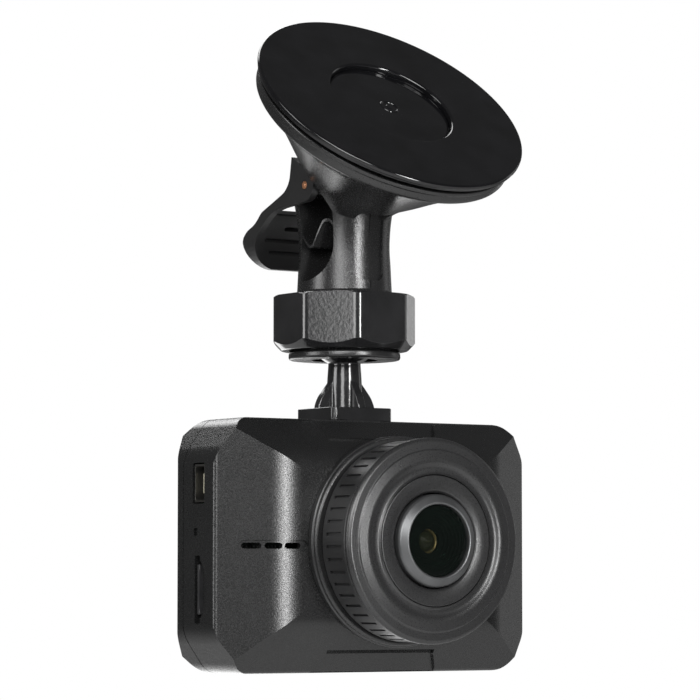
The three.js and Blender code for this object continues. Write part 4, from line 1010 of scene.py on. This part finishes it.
def make_rear():
    low, high = window_low, window_high
    middle_x, _, middle_z = centre_of(low, high)
    outline = rounded_box_outline(high.x - low.x, high.z - low.z, middle_x, middle_z, 0.7)
    pane = bevel(prism("screen_pane", outline, "y", low.y, high.y), 0.25, 3, 40)
    stand_for(pane, "camera", "lens_glass", FINISH["screen"], "display_window")
    for node, body in zip(keys, ("power", "menu", "up", "down")):
        low, high = in_neck(node)
        middle_x, _, middle_z = centre_of(low, high)
        outline = obround(high.x - low.x, high.z - low.z, middle_x, middle_z, 16)
        cap = bevel(prism(f"{node}_cap", outline, "y", low.y, high.y), 0.45, 5, 40)
        dish = obround(2.6, 0.7, middle_x, middle_z, 8)
        cut(cap, prism("dish", dish, "y", high.y - 0.18, high.y + 1))
        stand_for(cap, body, "key_rubber", FINISH["rubber"], node)
    for node in screws:
        low, high = in_neck(node)
        middle_x, _, middle_z = centre_of(low, high)
        radius = (high.x - low.x) / 2
        spot = NECK @ Matrix.Translation((middle_x, 0, middle_z)) @ Matrix.Rotation(-math.pi / 2, 4, "X")
        screw = turned(f"{node}_turned", [
            (0, low.y), (0.8, low.y, 0.1), (1.1, low.y + 0.8, 0.1), (1.1, high.y - 1.1, 0.1),
            (radius, high.y - 1.0, 0.15),
            (radius, high.y - 0.45, 0.25), (radius - 0.7, high.y - 0.05, 0.5), (0, high.y),
        ], spot, 48)
        cross = [
            block(
                "slot", (middle_x - reach_x, high.y - 0.7, middle_z - reach_z),
                (middle_x + reach_x, high.y + 1, middle_z + reach_z),
            )
            for reach_x, reach_z in ((1.15, 0.24), (0.24, 1.15))
        ]
        cut(screw, add(*cross))
        stand_for(screw, "camera", "steel", FINISH["steel"], node)


make_usb()
make_reset()
make_card()
make_mesh()
make_rear()

# ---- CAD nodes that are shown as they are ----------------------------------------------------------

CARRIED = {
    "main_board": "board", "image_sensor": "chip", "processor": "chip", "battery": "foil",
    "microphone": "steel",
    # The USB socket, card socket and speaker mesh take the darkened port metal, painted shade for the insides
    # of the openings.
    "speaker": "chip", "speaker_mesh": "port", "card_socket": "port", "reset_switch": "chip",
    "lcd_panel": "chip", "lcd_ribbon": "copper", "key_mat": "rubber", "ball_seat": "liner",
    "ball_washer": "liner", "return_spring": "steel", "pull_rod": "steel", "memory_card": "chip",
    "usb_socket": "port", "usb_tongue": "pale", "reset_button": "satin", "lever_pin": "copper",
    "lens_bezel": "bezel", "front_glass": "glass", "front_lens": "lens", "middle_lens": "lens",
    "rear_lens": "lens", "lens_cone": "baffle", "suction_pad": "pad", "pad_centre": "pad",
    "clamp_nut": "gloss", "cup_housing": "neck", "ball_bracket": "gloss", "lever": "lever",
    "display_window": "screen", "lens_barrel": "ribs",
}


# ---- Stage, lights and camera ----------------------------------------------------------------------

FLOOR_DROP = 0.6  # the floor is this far below the object, so low views see past it
AIM = NECK @ Vector((1.06, -0.70, 73.2))
AZIMUTH, RISE, DISTANCE = math.radians(-33.7), -55.4 * MM, 0.813


def softbox(name, azimuth, elevation, distance, width, height, power):
    data = bpy.data.lights.new(name, "AREA")
    data.shape = "RECTANGLE"
    data.size, data.size_y = width, height
    data.energy = power
    lamp = bpy.data.objects.new(name, data)
    scene.collection.objects.link(lamp)
    turn, lift = math.radians(azimuth), math.radians(elevation)
    away = Vector((math.sin(turn) * math.cos(lift), -math.cos(turn) * math.cos(lift), math.sin(lift)))
    lamp.location = AIM + away * distance
    lamp.rotation_euler = away.to_track_quat("Z", "Y").to_euler()
    return lamp


def make_stage():
    size = 6
    floor = build("floor", [
        (-size, -size, 0), (size, -size, 0), (size, size, 0), (-size, size, 0),
    ], [(0, 1, 2, 3)], Matrix.Translation((0, 0, case_low.z - FLOOR_DROP)))
    floor.data.materials.append(finish_of("floor_pale", (0.8, 0.8, 0.8), 0.7, grain=40, bump=0.02, vary=0.01))

    world = bpy.data.worlds.new("studio")
    scene.world = world
    world.use_nodes = True
    nodes, links = world.node_tree.nodes, world.node_tree.links
    seen = nodes.new("ShaderNodeBackground")
    seen.inputs["Color"].default_value = (1, 1, 1, 1)
    seen.inputs["Strength"].default_value = 1.0
    fill = nodes["Background"]
    fill.inputs["Color"].default_value = (1, 1, 1, 1)
    fill.inputs["Strength"].default_value = 0.1
    path = nodes.new("ShaderNodeLightPath")
    mix = nodes.new("ShaderNodeMixShader")
    links.new(path.outputs["Is Camera Ray"], mix.inputs["Fac"])
    links.new(fill.outputs["Background"], mix.inputs[1])
    links.new(seen.outputs["Background"], mix.inputs[2])
    links.new(mix.outputs["Shader"], nodes["World Output"].inputs["Surface"])

    softbox("key", -38, 23, 1.6, 1.2, 0.42, 20)
    softbox("left_front", -46, 6, 1.5, 0.5, 0.4, 4.5)
    softbox("front_strip", 4, 6, 1.5, 0.22, 0.8, 19)
    softbox("left_box", -100, 12, 1.4, 0.5, 0.9, 9)
    softbox("right_box", 92, 8, 1.5, 0.45, 1.0, 0.9)
    softbox("far_right", 124, 4, 1.6, 0.12, 0.7, 0.25)
    softbox("low_left", -88, -50, 1.3, 0.8, 0.8, 16)
    softbox("low_back", 161, -21, 1.3, 0.6, 0.5, 2.4)
    softbox("rear_fill", 165, 40, 1.8, 1.0, 1.0, 14)
    softbox("low_right", 108, -42, 1.3, 0.4, 0.4, 7)


def make_camera():
    data = bpy.data.cameras.new("camera")
    data.lens = 183.2
    data.sensor_width = 36
    data.clip_start, data.clip_end = 0.05, 50
    view = bpy.data.objects.new("camera", data)
    scene.collection.objects.link(view)
    view.location = AIM + Vector((math.sin(AZIMUTH) * DISTANCE, -math.cos(AZIMUTH) * DISTANCE, RISE))
    view.rotation_euler = (view.location - AIM).to_track_quat("Z", "Y").to_euler()
    scene.camera = view


make_stage()
make_camera()
scene.view_settings.view_transform = "Standard"

for name, node in frame["nodes"].items():
    if not node.data.materials:
        node.data.materials.append(FINISH["satin"])
    for slot in node.material_slots:
        slot.material = FINISH[CARRIED.get(name, "satin")]
